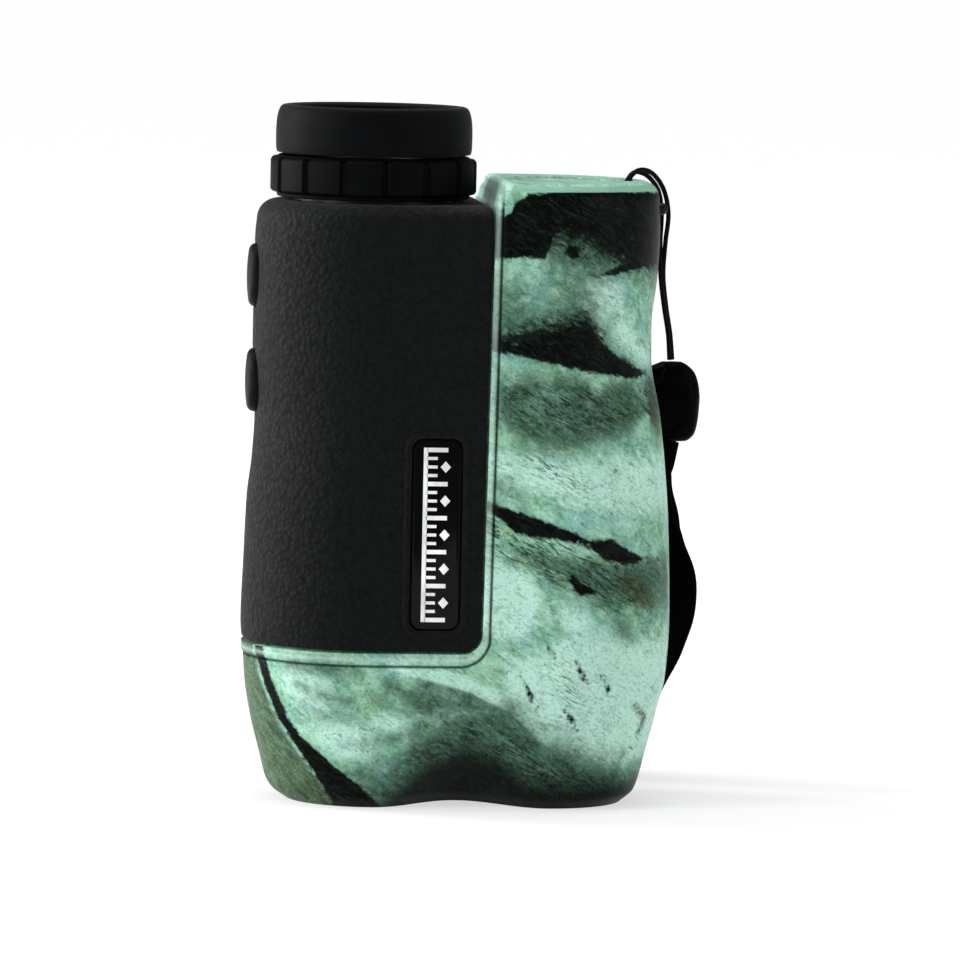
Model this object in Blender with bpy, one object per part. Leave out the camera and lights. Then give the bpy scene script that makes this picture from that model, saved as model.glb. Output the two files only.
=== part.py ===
"""Handheld laser rangefinder, standing on its lens end.

Units are millimetres in this file, turned into metres when a mesh is made.
+Z is up: the two lenses look down at Z = 0 and the eyepiece is at the top.
+X runs from the button side to the strap side, and -Y is the front flank.
"""

import math

import bmesh
import bpy
from mathutils import Vector

MM = 0.001

# Driving dimensions of the casing
VIEW_X = -14.75          # axis of the eyepiece and the viewing objective
RECEIVER_X = 16.75       # axis of the receiving lens
BATTERY_X = 15.2         # axis of the battery and its cap
DECK_Z = 99.7            # flat top under the eyepiece
COLUMN_Z = 103.7         # top of the battery column
TOP_EDGE_R = 2.8         # rounding of the top edges
STEP_X = (4.6, 4.9, 6.2)     # the step from the deck up to the column
STEP_RISE = (0.0, 2.9, 4.0)

# Outlines against height (Z, value): the two sides and half of the thickness
LEFT_SIDE = ((0, -27.5), (1.7, -29.9), (3.3, -30.9), (7, -31.9), (14, -33.7), (20, -34.7),
             (24, -35.0), (30, -35.5), (40, -35.2), (50, -34.85), (57, -34.1), (64, -33.75),
             (76, -34.3), (93, -34.2), (99.7, -33.6))
RIGHT_SIDE = ((0, 28.6), (2, 30.8), (5, 31.8), (8, 32.5), (13, 33.8), (16, 34.5), (21, 35.7),
              (30, 36.2), (46, 35.7), (58, 34.7), (65, 33.8), (74, 32.2), (80, 32.1),
              (88, 32.9), (95, 33.2), (103.7, 32.8))
HALF_DEPTH = ((0, 13.5), (2, 15.8), (7, 17.8), (14, 19.0), (22, 19.6), (28, 19.8), (64, 19.8),
              (80, 19.6), (103.7, 19.3))
VALLEY_DEPTH = 9.5       # how far the flank sinks between the two lens lobes at Z = 0
VALLEY_TOP = 16.0        # height where that valley has faded out
BODY_LEVELS = (0, 0.8, 2, 4.5, 7, 10.5, 14, 18, 23, 30, 40, 50, 58, 66, 74, 80, 86, 92)
INNER_LEVELS = (14, 20, 28, 44, 58, 66, 76, 84)

# Walls
GAP = 0.3                # clearance between touching pieces
PANEL_T = 1.4            # rubber panel
RECESS = PANEL_T + GAP   # depth of its recess in the shells
WALL = 1.5               # shell wall under the panel
CAVITY = RECESS + WALL   # offset of the inner space
CAVITY_FLOOR_Z = 8.0
PANEL_RIGHT_X = 2.85    # at the panel's lower edge
PANEL_LEAN = 0.0114      # how the right edge leans outward with height
PANEL_BOTTOM_Z = 26.5
PANEL_CORNER_R = 3.0

# Lens wells and optics
WELL_R = 10.3
CELL_R = 12.2
LENS_R = 10.7

# Eyepiece
HOLE_R = 13.5
BARREL_R = 13.2
RING_PADS = 15

# Buttons
BUTTON_Z = {"power": 87.0, "mode": 69.6}
BUTTON_LONG = 10.6
BUTTON_WIDE = 8.0
BUTTON_FACE_X = -35.45
BUTTON_FLANGE_X = (-31.3, -30.7)
BUTTON_LEDGE_X = -31.6   # the shell's ledge that holds the flange

# Battery column
BATTERY_R = 7.75
CAP_R = 8.4
PIN_Z = 99.0
POCKET = (25.4, 29.0, 3.4, 95.2)     # low X, high X, half of Y, floor Z

# Case screws: X, Z and the Y of the seat under the head
SCREWS = ((1.0, 22.0, 9.0), (0.6, 58.0, 9.0), (0.8, 88.0, 9.0), (27.6, 58.0, 7.5),
          (-28.8, 44.0, 6.0))
SCREW_TIP_Y = -9.0
BOSS_R = 2.9

# Badge
BADGE_X = -4.85
BADGE_Z = 45.9
BADGE_SIZE = (8.5, 31.8)
BADGE_FLOOR_Y = -18.9

# Strap
CORD_D = 0.8
WEB_WIDTH = 10.0
WEB_T = 1.4


# ---------------------------------------------------------------- helpers

def clear_scene():
    for old in list(bpy.data.objects):
        bpy.data.objects.remove(old, do_unlink=True)


def material(name, colour, roughness=0.5, metallic=0.0):
    mat = bpy.data.materials.get(name) or bpy.data.materials.new(name)
    mat.use_nodes = True
    shader = mat.node_tree.nodes["Principled BSDF"]
    shader.inputs["Base Color"].default_value = (*colour, 1.0)
    shader.inputs["Roughness"].default_value = roughness
    shader.inputs["Metallic"].default_value = metallic
    return mat


def add_object(name, bm, mat=None, origin=(0, 0, 0), smooth=True):
    """Makes an object from a bmesh in millimetres, with its origin at a point of the frame."""
    bmesh.ops.recalc_face_normals(bm, faces=bm.faces[:])
    offset = Vector(origin)
    for vert in bm.verts:
        vert.co = (vert.co - offset) * MM
    mesh = bpy.data.meshes.new(name)
    bm.to_mesh(mesh)
    bm.free()
    if smooth:
        mesh.shade_smooth()
        mesh.set_sharp_from_angle(angle=math.radians(35))
    obj = bpy.data.objects.new(name, mesh)
    obj.location = offset * MM
    bpy.context.scene.collection.objects.link(obj)
    if mat:
        mesh.materials.append(mat)
    return obj


def as_cutter(obj):
    obj.hide_render = True
    obj.display_type = "WIRE"
    return obj


def boolean(obj, operation, other):
    mod = obj.modifiers.new(f"{operation.lower()} {other.name}", "BOOLEAN")
    mod.operation = operation
    mod.object = other
    mod.solver = "EXACT"
    return mod


def curve_value(knots, at):
    """Monotone cubic curve through the knots (Fritsch-Carlson), flat beyond its ends."""
    if at <= knots[0][0]:
        return knots[0][1]
    if at >= knots[-1][0]:
        return knots[-1][1]
    slopes = [(b[1] - a[1]) / (b[0] - a[0]) for a, b in zip(knots, knots[1:])]
    tangents = [slopes[0]]
    for before, after in zip(slopes, slopes[1:]):
        same_way = before * after > 0
        tangents.append(2 * before * after / (before + after) if same_way else 0.0)
    tangents.append(slopes[-1])
    i = max(k for k in range(len(knots) - 1) if knots[k][0] <= at)
    (x0, y0), (x1, y1) = knots[i], knots[i + 1]
    width = x1 - x0
    t = (at - x0) / width
    return (y0 * (1 + 2 * t) * (1 - t) ** 2 + tangents[i] * width * t * (1 - t) ** 2
            + y1 * t * t * (3 - 2 * t) + tangents[i + 1] * width * t * t * (t - 1))


def smoothstep(t):
    t = min(max(t, 0.0), 1.0)
    return t * t * (3 - 2 * t)


def prism(bm, outline, place):
    """Adds a closed prism: place(u, v, end) gives the corner for end 0 and end 1."""
    ends = [[bm.verts.new(place(u, v, end)) for u, v in outline] for end in (0, 1)]
    count = len(outline)
    for i in range(count):
        j = (i + 1) % count
        bm.faces.new((ends[0][i], ends[0][j], ends[1][j], ends[1][i]))
    bm.faces.new(ends[0][::-1])
    bm.faces.new(ends[1])


def box(bm, low, high):
    outline = ((low[0], low[1]), (high[0], low[1]), (high[0], high[1]), (low[0], high[1]))
    prism(bm, outline, lambda u, v, end: (u, v, (low[2], high[2])[end]))


def rounded_outline(width, height, radius, steps=4):
    """Rounded rectangle about (0, 0), counter-clockwise."""
    points = []
    for quarter in range(4):
        cx = (width / 2 - radius) * (1, -1, -1, 1)[quarter]
        cy = (height / 2 - radius) * (1, 1, -1, -1)[quarter]
        for k in range(steps + 1):
            angle = math.pi / 2 * (quarter + k / steps)
            points.append((cx + radius * math.cos(angle), cy + radius * math.sin(angle)))
    return points


def round_bar(bm, start, end, radius, steps=16):
    """Adds a solid round bar between two points on a line along X, Y or Z."""
    axis = max(range(3), key=lambda k: abs(end[k] - start[k]))
    first, second = [(1, 2), (2, 0), (0, 1)][axis]
    outline = [(radius * math.cos(math.tau * k / steps), radius * math.sin(math.tau * k / steps))
               for k in range(steps)]

    def place(u, v, which):
        point = [0.0, 0.0, 0.0]
        point[axis] = (start[axis], end[axis])[which]
        point[first] = start[first] + u
        point[second] = start[second] + v
        return point

    prism(bm, outline, place)


def turned(bm, profile, x, steps=24, radius_at=None):
    """Turns a closed profile of (radius, z) about the vertical axis at (x, 0)."""
    rings = []
    for r, z in profile:
        if r == 0:
            rings.append([bm.verts.new((x, 0, z))])
            continue
        ring = []
        for k in range(steps):
            angle = math.tau * k / steps
            radius = radius_at(r, z, k) if radius_at else r
            ring.append(bm.verts.new((x + radius * math.cos(angle), radius * math.sin(angle), z)))
        rings.append(ring)
    count = len(rings)
    for i in range(count):
        a, b = rings[i], rings[(i + 1) % count]
        if len(a) == 1 and len(b) == 1:
            continue
        for k in range(steps):
            j = (k + 1) % steps
            corners = [a[k % len(a)], a[j % len(a)], b[j % len(b)], b[k % len(b)]]
            unique = list(dict.fromkeys(corners))
            bm.faces.new(unique)


def turned_piece(name, profile, x, mat, steps=24, origin=None, radius_at=None):
    bm = bmesh.new()
    turned(bm, profile, x, steps, radius_at)
    return add_object(name, bm, mat, origin or (0, 0, 0))


def tube_profile(inner, outer, low, high):
    return ((inner, low), (outer, low), (outer, high), (inner, high))


def lens_profile(radius, low, high, bulge_low, bulge_high, rings=3):
    """A lens: a cylinder edge between two domed faces."""
    points = [(0, low - bulge_low)]
    for k in range(1, rings + 1):
        share = k / rings
        points.append((radius * share, low - bulge_low * (1 - share * share)))
    for k in range(rings, 0, -1):
        share = k / rings
        points.append((radius * share, high + bulge_high * (1 - share * share)))
    points.append((0, high + bulge_high))
    return points


# ---------------------------------------------------------------- casing solid

ARC_STEPS = 6
INNER_ARC_STEPS = 4
FLAT_X = (-8.0, -1.5, 2.2, *STEP_X, 10.0)


def top_height(kind, value):
    if kind == "left":
        return DECK_Z
    if kind == "right":
        return COLUMN_Z
    rise = 0.0 if value < STEP_X[0] else STEP_RISE[-1]
    for edge, step in zip(STEP_X, STEP_RISE):
        if value == edge:
            rise = step
    return DECK_Z + rise


def casing_point(kind, value, z, inset):
    """A point of the front half's outline: X, and how far the flank is from the middle."""
    depth = curve_value(HALF_DEPTH, z) - inset
    left = curve_value(LEFT_SIDE, z) + inset + depth
    right = curve_value(RIGHT_SIDE, z) - inset - depth
    if kind == "left":
        return left - depth * math.cos(value), depth * math.sin(value)
    if kind == "right":
        return right + depth * math.cos(value), depth * math.sin(value)
    across = (value - left) / (right - left)
    sink = VALLEY_DEPTH * (1 - smoothstep(z / VALLEY_TOP)) * math.sin(math.pi * across) ** 2
    return value, depth - sink


def casing(name, inset=0.0, floor=0.0, arc_steps=ARC_STEPS, heights=BODY_LEVELS):
    """The whole casing as one solid, shrunk by an inset."""
    columns = [("left", math.pi / 2 * k / arc_steps) for k in range(arc_steps + 1)]
    columns += [("flat", x) for x in FLAT_X]
    columns += [("right", math.pi / 2 * (1 - k / arc_steps)) for k in range(arc_steps + 1)]
    levels = [floor] + [z for z in heights if z > floor + 0.5]
    rows = [(lambda column, z=z: z, inset) for z in levels]
    edge = max(TOP_EDGE_R - inset, 0.0)
    turns = (0.0, 0.5, 1.0) if edge else (0.0,)
    for t in turns:
        angle = t * math.pi / 2
        drop = edge * (1 - math.sin(angle)) + inset
        rows.append((lambda column, drop=drop: top_height(*column) - drop,
                     inset + edge * (1 - math.cos(angle))))
    bm = bmesh.new()
    loops = []
    for height, shrink in rows:
        front, back = [], []
        for index, column in enumerate(columns):
            z = height(column)
            x, y = casing_point(*column, z, shrink)
            if index in (0, len(columns) - 1):
                vert = bm.verts.new((x, 0, z))
                front.append(vert)
                back.append(vert)
            else:
                front.append(bm.verts.new((x, -y, z)))
                back.append(bm.verts.new((x, y, z)))
        loops.append((front, back))
    for lower, upper in zip(loops, loops[1:]):
        for side in (0, 1):
            for i in range(len(columns) - 1):
                bm.faces.new((lower[side][i], lower[side][i + 1], upper[side][i + 1], upper[side][i]))
    for front, back in (loops[0], loops[-1]):
        for i in range(len(columns) - 1):
            corners = (front[i], front[i + 1], back[i + 1], back[i])
            bm.faces.new(list(dict.fromkeys(corners)))
    return as_cutter(add_object(name, bm))


def panel_zone(name, grow):
    """The part of the casing that the rubber panel covers, with a rounded lower corner."""
    right = PANEL_RIGHT_X + grow
    low = PANEL_BOTTOM_Z - grow
    radius = PANEL_CORNER_R + grow
    outline = [(-60.0, low)]
    for k in range(5):
        angle = -math.pi / 2 + math.pi / 2 * k / 4
        outline.append((right - radius + radius * math.cos(angle),
                        low + radius + radius * math.sin(angle)))
    outline += [(right, 130.0), (-60.0, 130.0)]
    bm = bmesh.new()
    prism(bm, outline, lambda u, v, end: (u + PANEL_LEAN * (v - PANEL_BOTTOM_Z),
                                          (-50.0, 50.0)[end], v))
    return as_cutter(add_object(name, bm))


def pill_stack(bm, sections, z):
    """Adds one solid through pill-shaped sections of (length along Z, width along Y, X)."""
    rings = [[bm.verts.new((x, u, z + v)) for u, v in
              rounded_outline(wide, long, wide / 2 - 0.01, 5)] for long, wide, x in sections]
    for a, b in zip(rings, rings[1:]):
        for k in range(len(a)):
            j = (k + 1) % len(a)
            bm.faces.new((a[k], a[j], b[j], b[k]))
    bm.faces.new(rings[0])
    bm.faces.new(rings[-1][::-1])


# ---------------------------------------------------------------- cutters

def cavity_cutter():
    """The inner space: the shrunk casing less the screw bosses and the lug block."""
    keep = bmesh.new()
    for x, z, _ in SCREWS:
        round_bar(keep, (x, -40, z), (x, 40, z), BOSS_R, 14)
    box(keep, (24.4, -5.4, 93.6), (40, 5.4, 110))
    kept = as_cutter(add_object("kept_inside", keep))
    cavity = casing("cavity", CAVITY, CAVITY_FLOOR_Z, INNER_ARC_STEPS, INNER_LEVELS)
    boolean(cavity, "DIFFERENCE", kept)
    return cavity


def shell_hole_cutter():
    bm = bmesh.new()
    for x in (VIEW_X, RECEIVER_X):
        round_bar(bm, (x, 0, -5), (x, 0, CAVITY_FLOOR_Z + 1), WELL_R, 32)
    round_bar(bm, (VIEW_X, 0, DECK_Z - 5), (VIEW_X, 0, 120), HOLE_R, 32)
    round_bar(bm, (BATTERY_X, 0, COLUMN_Z - 5), (BATTERY_X, 0, 120), CAP_R + GAP, 28)
    long, wide = BUTTON_LONG + 2 * GAP, BUTTON_WIDE + 2 * GAP
    for z in BUTTON_Z.values():
        pill_stack(bm, ((long, wide, -45), (long, wide, BUTTON_LEDGE_X),
                        (long + 1.6, wide + 1.2, BUTTON_LEDGE_X),
                        (long + 1.6, wide + 1.2, -28)), z)
    low_x, high_x, half_y, floor_z = POCKET
    box(bm, (low_x, -half_y, floor_z), (high_x, half_y, 120))
    cutter = as_cutter(add_object("shell_holes", bm))
    pin = bmesh.new()
    round_bar(pin, (24.6, 0, PIN_Z), (45, 0, PIN_Z), 1.3, 12)
    pin_cutter = as_cutter(add_object("pin_hole", pin))
    return cutter, pin_cutter


# ---------------------------------------------------------------- casing pieces

def make_shells(mats):
    cavity = cavity_cutter()
    holes, pin_hole = shell_hole_cutter()
    screws = screw_holes()
    recess = panel_zone("panel_recess", GAP)
    boolean(recess, "DIFFERENCE", casing("recess_core", RECESS))
    for name, side in (("front_shell", -1), ("back_shell", 1)):
        bm = bmesh.new()
        low, high = sorted((side * GAP / 2, side * 40.0))
        box(bm, (-60, low, -10), (60, high, 130))
        half = as_cutter(add_object(f"{name}_half", bm))
        shell = casing(name)
        shell.hide_render = False
        shell.display_type = "TEXTURED"
        shell.data.materials.append(mats["camo"])
        for operation, other in (("INTERSECT", half), ("DIFFERENCE", recess),
                                 ("DIFFERENCE", cavity), ("DIFFERENCE", holes),
                                 ("DIFFERENCE", pin_hole), ("DIFFERENCE", screws[0]),
                                 ("DIFFERENCE", screws[1])):
            boolean(shell, operation, other)


def screw_holes():
    """Clearance holes and, on the back, the deep counterbores above the screw heads."""
    shaft, head = bmesh.new(), bmesh.new()
    for x, z, seat in SCREWS:
        round_bar(shaft, (x, SCREW_TIP_Y - 1, z), (x, 30, z), 1.3, 12)
        round_bar(head, (x, seat - GAP, z), (x, 45, z), 2.2, 14)
    return (as_cutter(add_object("screw_shaft_holes", shaft)),
            as_cutter(add_object("screw_head_holes", head)))


def make_panel(mats):
    panel = casing("grip_panel")
    panel.hide_render = False
    panel.display_type = "TEXTURED"
    panel.data.materials.append(mats["leatherette"])
    bm = bmesh.new()
    round_bar(bm, (VIEW_X, 0, DECK_Z - 5), (VIEW_X, 0, 120), HOLE_R, 32)
    long, wide = BUTTON_LONG + 2 * GAP, BUTTON_WIDE + 2 * GAP
    for z in BUTTON_Z.values():
        pill_stack(bm, ((long, wide, -45), (long, wide, -28)), z)
    outline = rounded_outline(*BADGE_SIZE, 2.0, 3)
    prism(bm, outline, lambda u, v, end: (BADGE_X + u, (-30, BADGE_FLOOR_Y)[end], BADGE_Z + v))
    holes = as_cutter(add_object("panel_holes", bm))
    boolean(panel, "INTERSECT", panel_zone("panel_area", 0.0))
    boolean(panel, "DIFFERENCE", casing("panel_core", PANEL_T))
    boolean(panel, "DIFFERENCE", holes)


def make_badge(mats):
    outline = rounded_outline(BADGE_SIZE[0] - 2 * GAP, BADGE_SIZE[1] - 2 * GAP, 1.7, 3)
    bm = bmesh.new()
    ends = (BADGE_FLOOR_Y - GAP - 0.35, BADGE_FLOOR_Y - GAP)
    prism(bm, outline, lambda u, v, end: (BADGE_X + u, ends[end], BADGE_Z + v))
    add_object("badge_plate", bm, mats["gloss_black"])


def make_screws(mats):
    for number, (x, z, seat) in enumerate(SCREWS, 1):
        bm = bmesh.new()
        rings = ((0, SCREW_TIP_Y), (1.0, SCREW_TIP_Y), (1.0, seat), (1.9, seat), (1.9, seat + 1.4),
                 (1.3, seat + 1.8), (0, seat + 1.8))
        turned(bm, rings, 0, 12)
        for vert in bm.verts:
            across, depth, along = vert.co
            vert.co = (x + across, along, z - depth)
        add_object(f"case_screw_{number}", bm, mats["steel"])


# ---------------------------------------------------------------- optics

def make_lens_group(mats, prefix, x, cell_profile):
    bezel = ((9.5, 1.4), (9.9, 1.0), (10.0, 1.4), (10.0, 7.4), (9.1, 7.4), (9.1, 6.2))
    turned_piece(f"{prefix}_bezel", bezel, x, mats["black_plastic"], 28)
    turned_piece(f"{prefix}_cell", cell_profile, x, mats["black_metal"], 24)
    turned_piece(f"{prefix}_lens", lens_profile(LENS_R, 10.4, 12.0, 0.8, 0.8), x,
                 mats["glass"], 24)


def make_optics(mats):
    view_cell = ((9.6, 8.3), (CELL_R, 8.3), (CELL_R, 26.0), (11.0, 26.0), (11.0, 9.2), (9.6, 9.2))
    make_lens_group(mats, "objective", VIEW_X, view_cell)
    cone = ((9.6, 8.3), (CELL_R, 8.3), (CELL_R, 26.0), (6.6, 46.8), (5.6, 46.8), (11.0, 25.6),
            (11.0, 9.2), (9.6, 9.2))
    make_lens_group(mats, "receiver", RECEIVER_X, cone)

    bm = bmesh.new()
    outer, inner = 10.75, 9.55
    rings = []
    for half, z in ((outer, 31.0), (outer, 58.0), (inner, 58.0), (inner, 31.0)):
        rings.append([bm.verts.new((VIEW_X + sx * half, sy * half, z))
                      for sx, sy in ((1, 1), (-1, 1), (-1, -1), (1, -1))])
    for i in range(4):
        a, b = rings[i], rings[(i + 1) % 4]
        for k in range(4):
            j = (k + 1) % 4
            bm.faces.new((a[k], a[j], b[j], b[k]))
    add_object("prism_cage", bm, mats["black_plastic"], smooth=False)

    half_penta = ((-9, 0), (9, 0), (9, 4), (-5.5, 18.5), (-9, 15))
    roof = ((9, 4.8), (9, 23.5), (-9.4, 23.5))
    for name, outline in (("half_penta_prism", half_penta), ("roof_prism", roof)):
        bm = bmesh.new()
        prism(bm, outline, lambda u, v, end: (VIEW_X + u, (9.0, -9.0)[end], 32.5 + v))
        add_object(name, bm, mats["glass"], smooth=False)

    bm = bmesh.new()
    box(bm, (VIEW_X - 8, -7, 66.0), (VIEW_X + 8, 7, 67.6))
    add_object("display_module", bm, mats["glass"], smooth=False)

    bm = bmesh.new()
    turned(bm, ((0, 0), (2.8, 0), (2.8, 1.0), (2.2, 1.0), (2.2, 3.2), (0, 3.2)), 0, 16)
    for vert in bm.verts:
        across, side, along = vert.co
        vert.co = (-0.2 - along, side, 44.0 + across)
    add_object("laser_diode", bm, mats["steel"])


def make_electronics(mats):
    def board(name, low, high, chips):
        bm = bmesh.new()
        box(bm, low, high)
        obj = add_object(name, bm, mats["board"], smooth=False)
        for index, (chip_low, chip_high) in enumerate(chips):
            chip = bmesh.new()
            box(chip, chip_low, chip_high)
            cutter = as_cutter(add_object(f"{name}_chip_{index}", chip, smooth=False))
            boolean(obj, "UNION", cutter)

    board("laser_board", (0.1, -7.0, 37.0), (1.1, 7.0, 51.0), ())
    board("receiver_board", (RECEIVER_X - 7.5, -7.5, 50.5), (RECEIVER_X + 7.5, 7.5, 51.7),
          (((RECEIVER_X - 3, -3, 51.5), (RECEIVER_X + 3, 3, 53.0)),))
    board("main_board", (4.2, 13.0, 30.0), (21.4, 14.2, 60.0),
          (((8, 14.0, 36), (16, 15.4, 44)), ((9, 14.0, 48), (18, 15.0, 53))))
    board("button_board", (-28.4, -4.5, 63.0), (-27.8, 4.5, 93.9), ())
    for name, z in BUTTON_Z.items():
        bm = bmesh.new()
        turned(bm, ((0, 0), (2.6, 0), (2.6, 0.6), (1.5, 0.6), (1.5, 0.9), (0, 0.9)), 0, 12)
        for vert in bm.verts:
            across, side, along = vert.co
            vert.co = (-28.7 - along, side, z + across)
        add_object(f"{name}_switch", bm, mats["steel"])
    turned_piece("sensor", ((0, 47.2), (2.7, 47.2), (2.7, 50.2), (0, 50.2)), RECEIVER_X,
                 mats["steel"], 16)


# ---------------------------------------------------------------- eyepiece

def make_eyepiece(mats):
    barrel = ((11.3, 78.0), (12.3, 78.0), (12.3, 94.7), (15.0, 94.7), (15.0, 96.2),
              (BARREL_R, 96.2), (BARREL_R, 105.9), (11.3, 105.9))
    turned_piece("eyepiece_barrel", barrel, VIEW_X, mats["black_metal"], 28)

    per_pad = 4
    steps = RING_PADS * per_pad

    def padded(r, z, k):
        in_groove = k % per_pad == 0
        return r - 0.55 if in_groove and r > 16 else r

    axis = (VIEW_X, 0, 103.6)
    ring = ((HOLE_R, 100.2), (16.3, 100.2), (17.1, 101.0), (17.1, 106.8), (16.8, 107.1),
            (11.9, 107.1), (11.9, 106.2), (HOLE_R, 106.2))
    turned_piece("diopter_ring", ring, VIEW_X, mats["rubber"], steps, axis, padded)
    turned_piece("eyecup_guide_tube", tube_profile(13.2, 14.0, 107.4, 113.4), VIEW_X,
                 mats["black_plastic"], 28, axis)
    cell = ((8.6, 84.0), (11.0, 84.0), (11.0, 106.4), (10.2, 106.4), (10.2, 85.4), (8.6, 85.4))
    turned_piece("eyepiece_cell", cell, VIEW_X, mats["black_metal"], 24, axis)
    turned_piece("field_lens", lens_profile(9.9, 87.6, 89.0, 1.4, 1.4), VIEW_X,
                 mats["glass"], 24, axis)
    turned_piece("eye_lens", lens_profile(9.9, 100.8, 102.6, 1.6, 1.0), VIEW_X,
                 mats["glass"], 24, axis)
    retainer = ((8.2, 104.3), (9.9, 104.3), (9.9, 106.0), (9.2, 106.0))
    turned_piece("eyepiece_retaining_ring", retainer, VIEW_X, mats["black_metal"], 24, axis)
    cup_axis = (VIEW_X, 0, 111.0)
    turned_piece("eyecup_cam_ring", tube_profile(11.6, 12.9, 107.5, 109.8), VIEW_X,
                 mats["black_plastic"], 28, cup_axis)
    turned_piece("eyecup_sleeve", tube_profile(14.3, 14.9, 107.6, 113.5), VIEW_X,
                 mats["black_plastic"], 28, cup_axis)
    rubber = ((15.2, 107.5), (16.2, 107.5), (16.1, 110.5), (15.9, 113.6), (15.3, 115.0),
              (14.2, 115.4), (13.2, 114.9), (12.9, 113.9), (15.2, 113.9))
    turned_piece("eyecup_rubber", rubber, VIEW_X, mats["rubber"], 32, cup_axis)


# ---------------------------------------------------------------- buttons

def make_buttons(mats):
    for name, z in BUTTON_Z.items():
        bm = bmesh.new()
        sections = (
            (BUTTON_LONG - 1.0, BUTTON_WIDE - 1.0, BUTTON_FACE_X),
            (BUTTON_LONG, BUTTON_WIDE, BUTTON_FACE_X + 0.6),
            (BUTTON_LONG, BUTTON_WIDE, BUTTON_FLANGE_X[0]),
            (BUTTON_LONG + 1.6, BUTTON_WIDE + 1.2, BUTTON_FLANGE_X[0]),
            (BUTTON_LONG + 1.6, BUTTON_WIDE + 1.2, BUTTON_FLANGE_X[1]),
        )
        pill_stack(bm, sections, z)
        add_object(f"{name}_button", bm, mats["rubber"], (BUTTON_FACE_X, 0, z))


# ---------------------------------------------------------------- battery

def make_battery(mats):
    x = BATTERY_X
    tube = ((4.0, 65.4), (8.75, 65.4), (8.75, 96.9), (8.05, 96.9), (8.05, 66.1), (4.0, 66.1))
    turned_piece("battery_tube", tube, x, mats["black_plastic"], 24)
    battery = ((0, 68.3), (7.0, 68.3), (BATTERY_R, 68.7), (BATTERY_R, 94.5), (7.2, 94.8),
               (3.2, 94.8), (3.2, 95.3), (0, 95.3))
    turned_piece("battery", battery, x, mats["battery"], 24)

    curve = bpy.data.curves.new("battery_spring", "CURVE")
    curve.dimensions = "3D"
    curve.bevel_depth = 0.25 * MM
    curve.bevel_resolution = 1
    curve.use_fill_caps = True
    curve.render_resolution_u = 0
    points_per_turn, turns = 12, 2
    total = points_per_turn * turns
    spline = curve.splines.new("POLY")
    spline.points.add(total)
    for k in range(total + 1):
        angle = math.tau * k / points_per_turn
        radius = 6.5 - 3.0 * k / total
        spline.points[k].co = ((x + radius * math.cos(angle)) * MM, radius * math.sin(angle) * MM,
                               (66.7 + 1.0 * k / total) * MM, 1.0)
    spring = bpy.data.objects.new("battery_spring", curve)
    bpy.context.scene.collection.objects.link(spring)
    curve.materials.append(mats["steel"])

    axis = (x, 0, 100.0)
    contact = ((0, 95.7), (4.0, 95.7), (4.0, 96.3), (1.2, 96.3), (1.2, 97.2), (0, 97.2))
    turned_piece("cap_contact", contact, x, mats["brass"], 20, axis)
    cap = ((0, 97.5), (7.3, 97.5), (7.3, 100.3), (CAP_R, 100.3), (CAP_R, 103.1), (8.1, 103.4),
           (0, 103.4))
    piece = turned_piece("battery_cap", cap, x, mats["black_plastic"], 28, axis)
    bm = bmesh.new()
    box(bm, (x - 6.2, -0.7, 102.2), (x + 6.2, 0.7, 110))
    boolean(piece, "DIFFERENCE", as_cutter(add_object("coin_slot", bm, smooth=False)))
    turned_piece("cap_seal", ((7.6, 98.7), (8.2, 98.5), (8.6, 99.0), (8.2, 99.6), (7.6, 99.4)), x,
                 mats["rubber"], 24, axis)


# ---------------------------------------------------------------- strap

def smooth_route(points, spacing):
    """Evenly spaced points on a smooth curve (centripetal Catmull-Rom) through the points."""
    route = [Vector(p) for p in points]
    route = [2 * route[0] - route[1], *route, 2 * route[-1] - route[-2]]
    dense = []
    for p0, p1, p2, p3 in zip(route, route[1:], route[2:], route[3:]):
        t1 = (p1 - p0).length ** 0.5
        t2 = t1 + (p2 - p1).length ** 0.5
        t3 = t2 + (p3 - p2).length ** 0.5
        for k in range(16):
            t = t1 + (t2 - t1) * k / 16
            a1 = p0 * ((t1 - t) / t1) + p1 * (t / t1)
            a2 = p1 * ((t2 - t) / (t2 - t1)) + p2 * ((t - t1) / (t2 - t1))
            a3 = p2 * ((t3 - t) / (t3 - t2)) + p3 * ((t - t2) / (t3 - t2))
            b1 = a1 * ((t2 - t) / t2) + a2 * (t / t2)
            b2 = a2 * ((t3 - t) / (t3 - t1)) + a3 * ((t - t1) / (t3 - t1))
            dense.append(b1 * ((t2 - t) / (t2 - t1)) + b2 * ((t - t1) / (t2 - t1)))
    dense.append(route[-2])
    lengths = [0.0]
    for a, b in zip(dense, dense[1:]):
        lengths.append(lengths[-1] + (b - a).length)
    count = max(2, round(lengths[-1] / spacing))
    out, i = [], 0
    for k in range(count + 1):
        goal = lengths[-1] * k / count
        while i < len(dense) - 2 and lengths[i + 1] < goal:
            i += 1
        span = lengths[i + 1] - lengths[i]
        out.append(dense[i].lerp(dense[i + 1], (goal - lengths[i]) / span))
    return out


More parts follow.
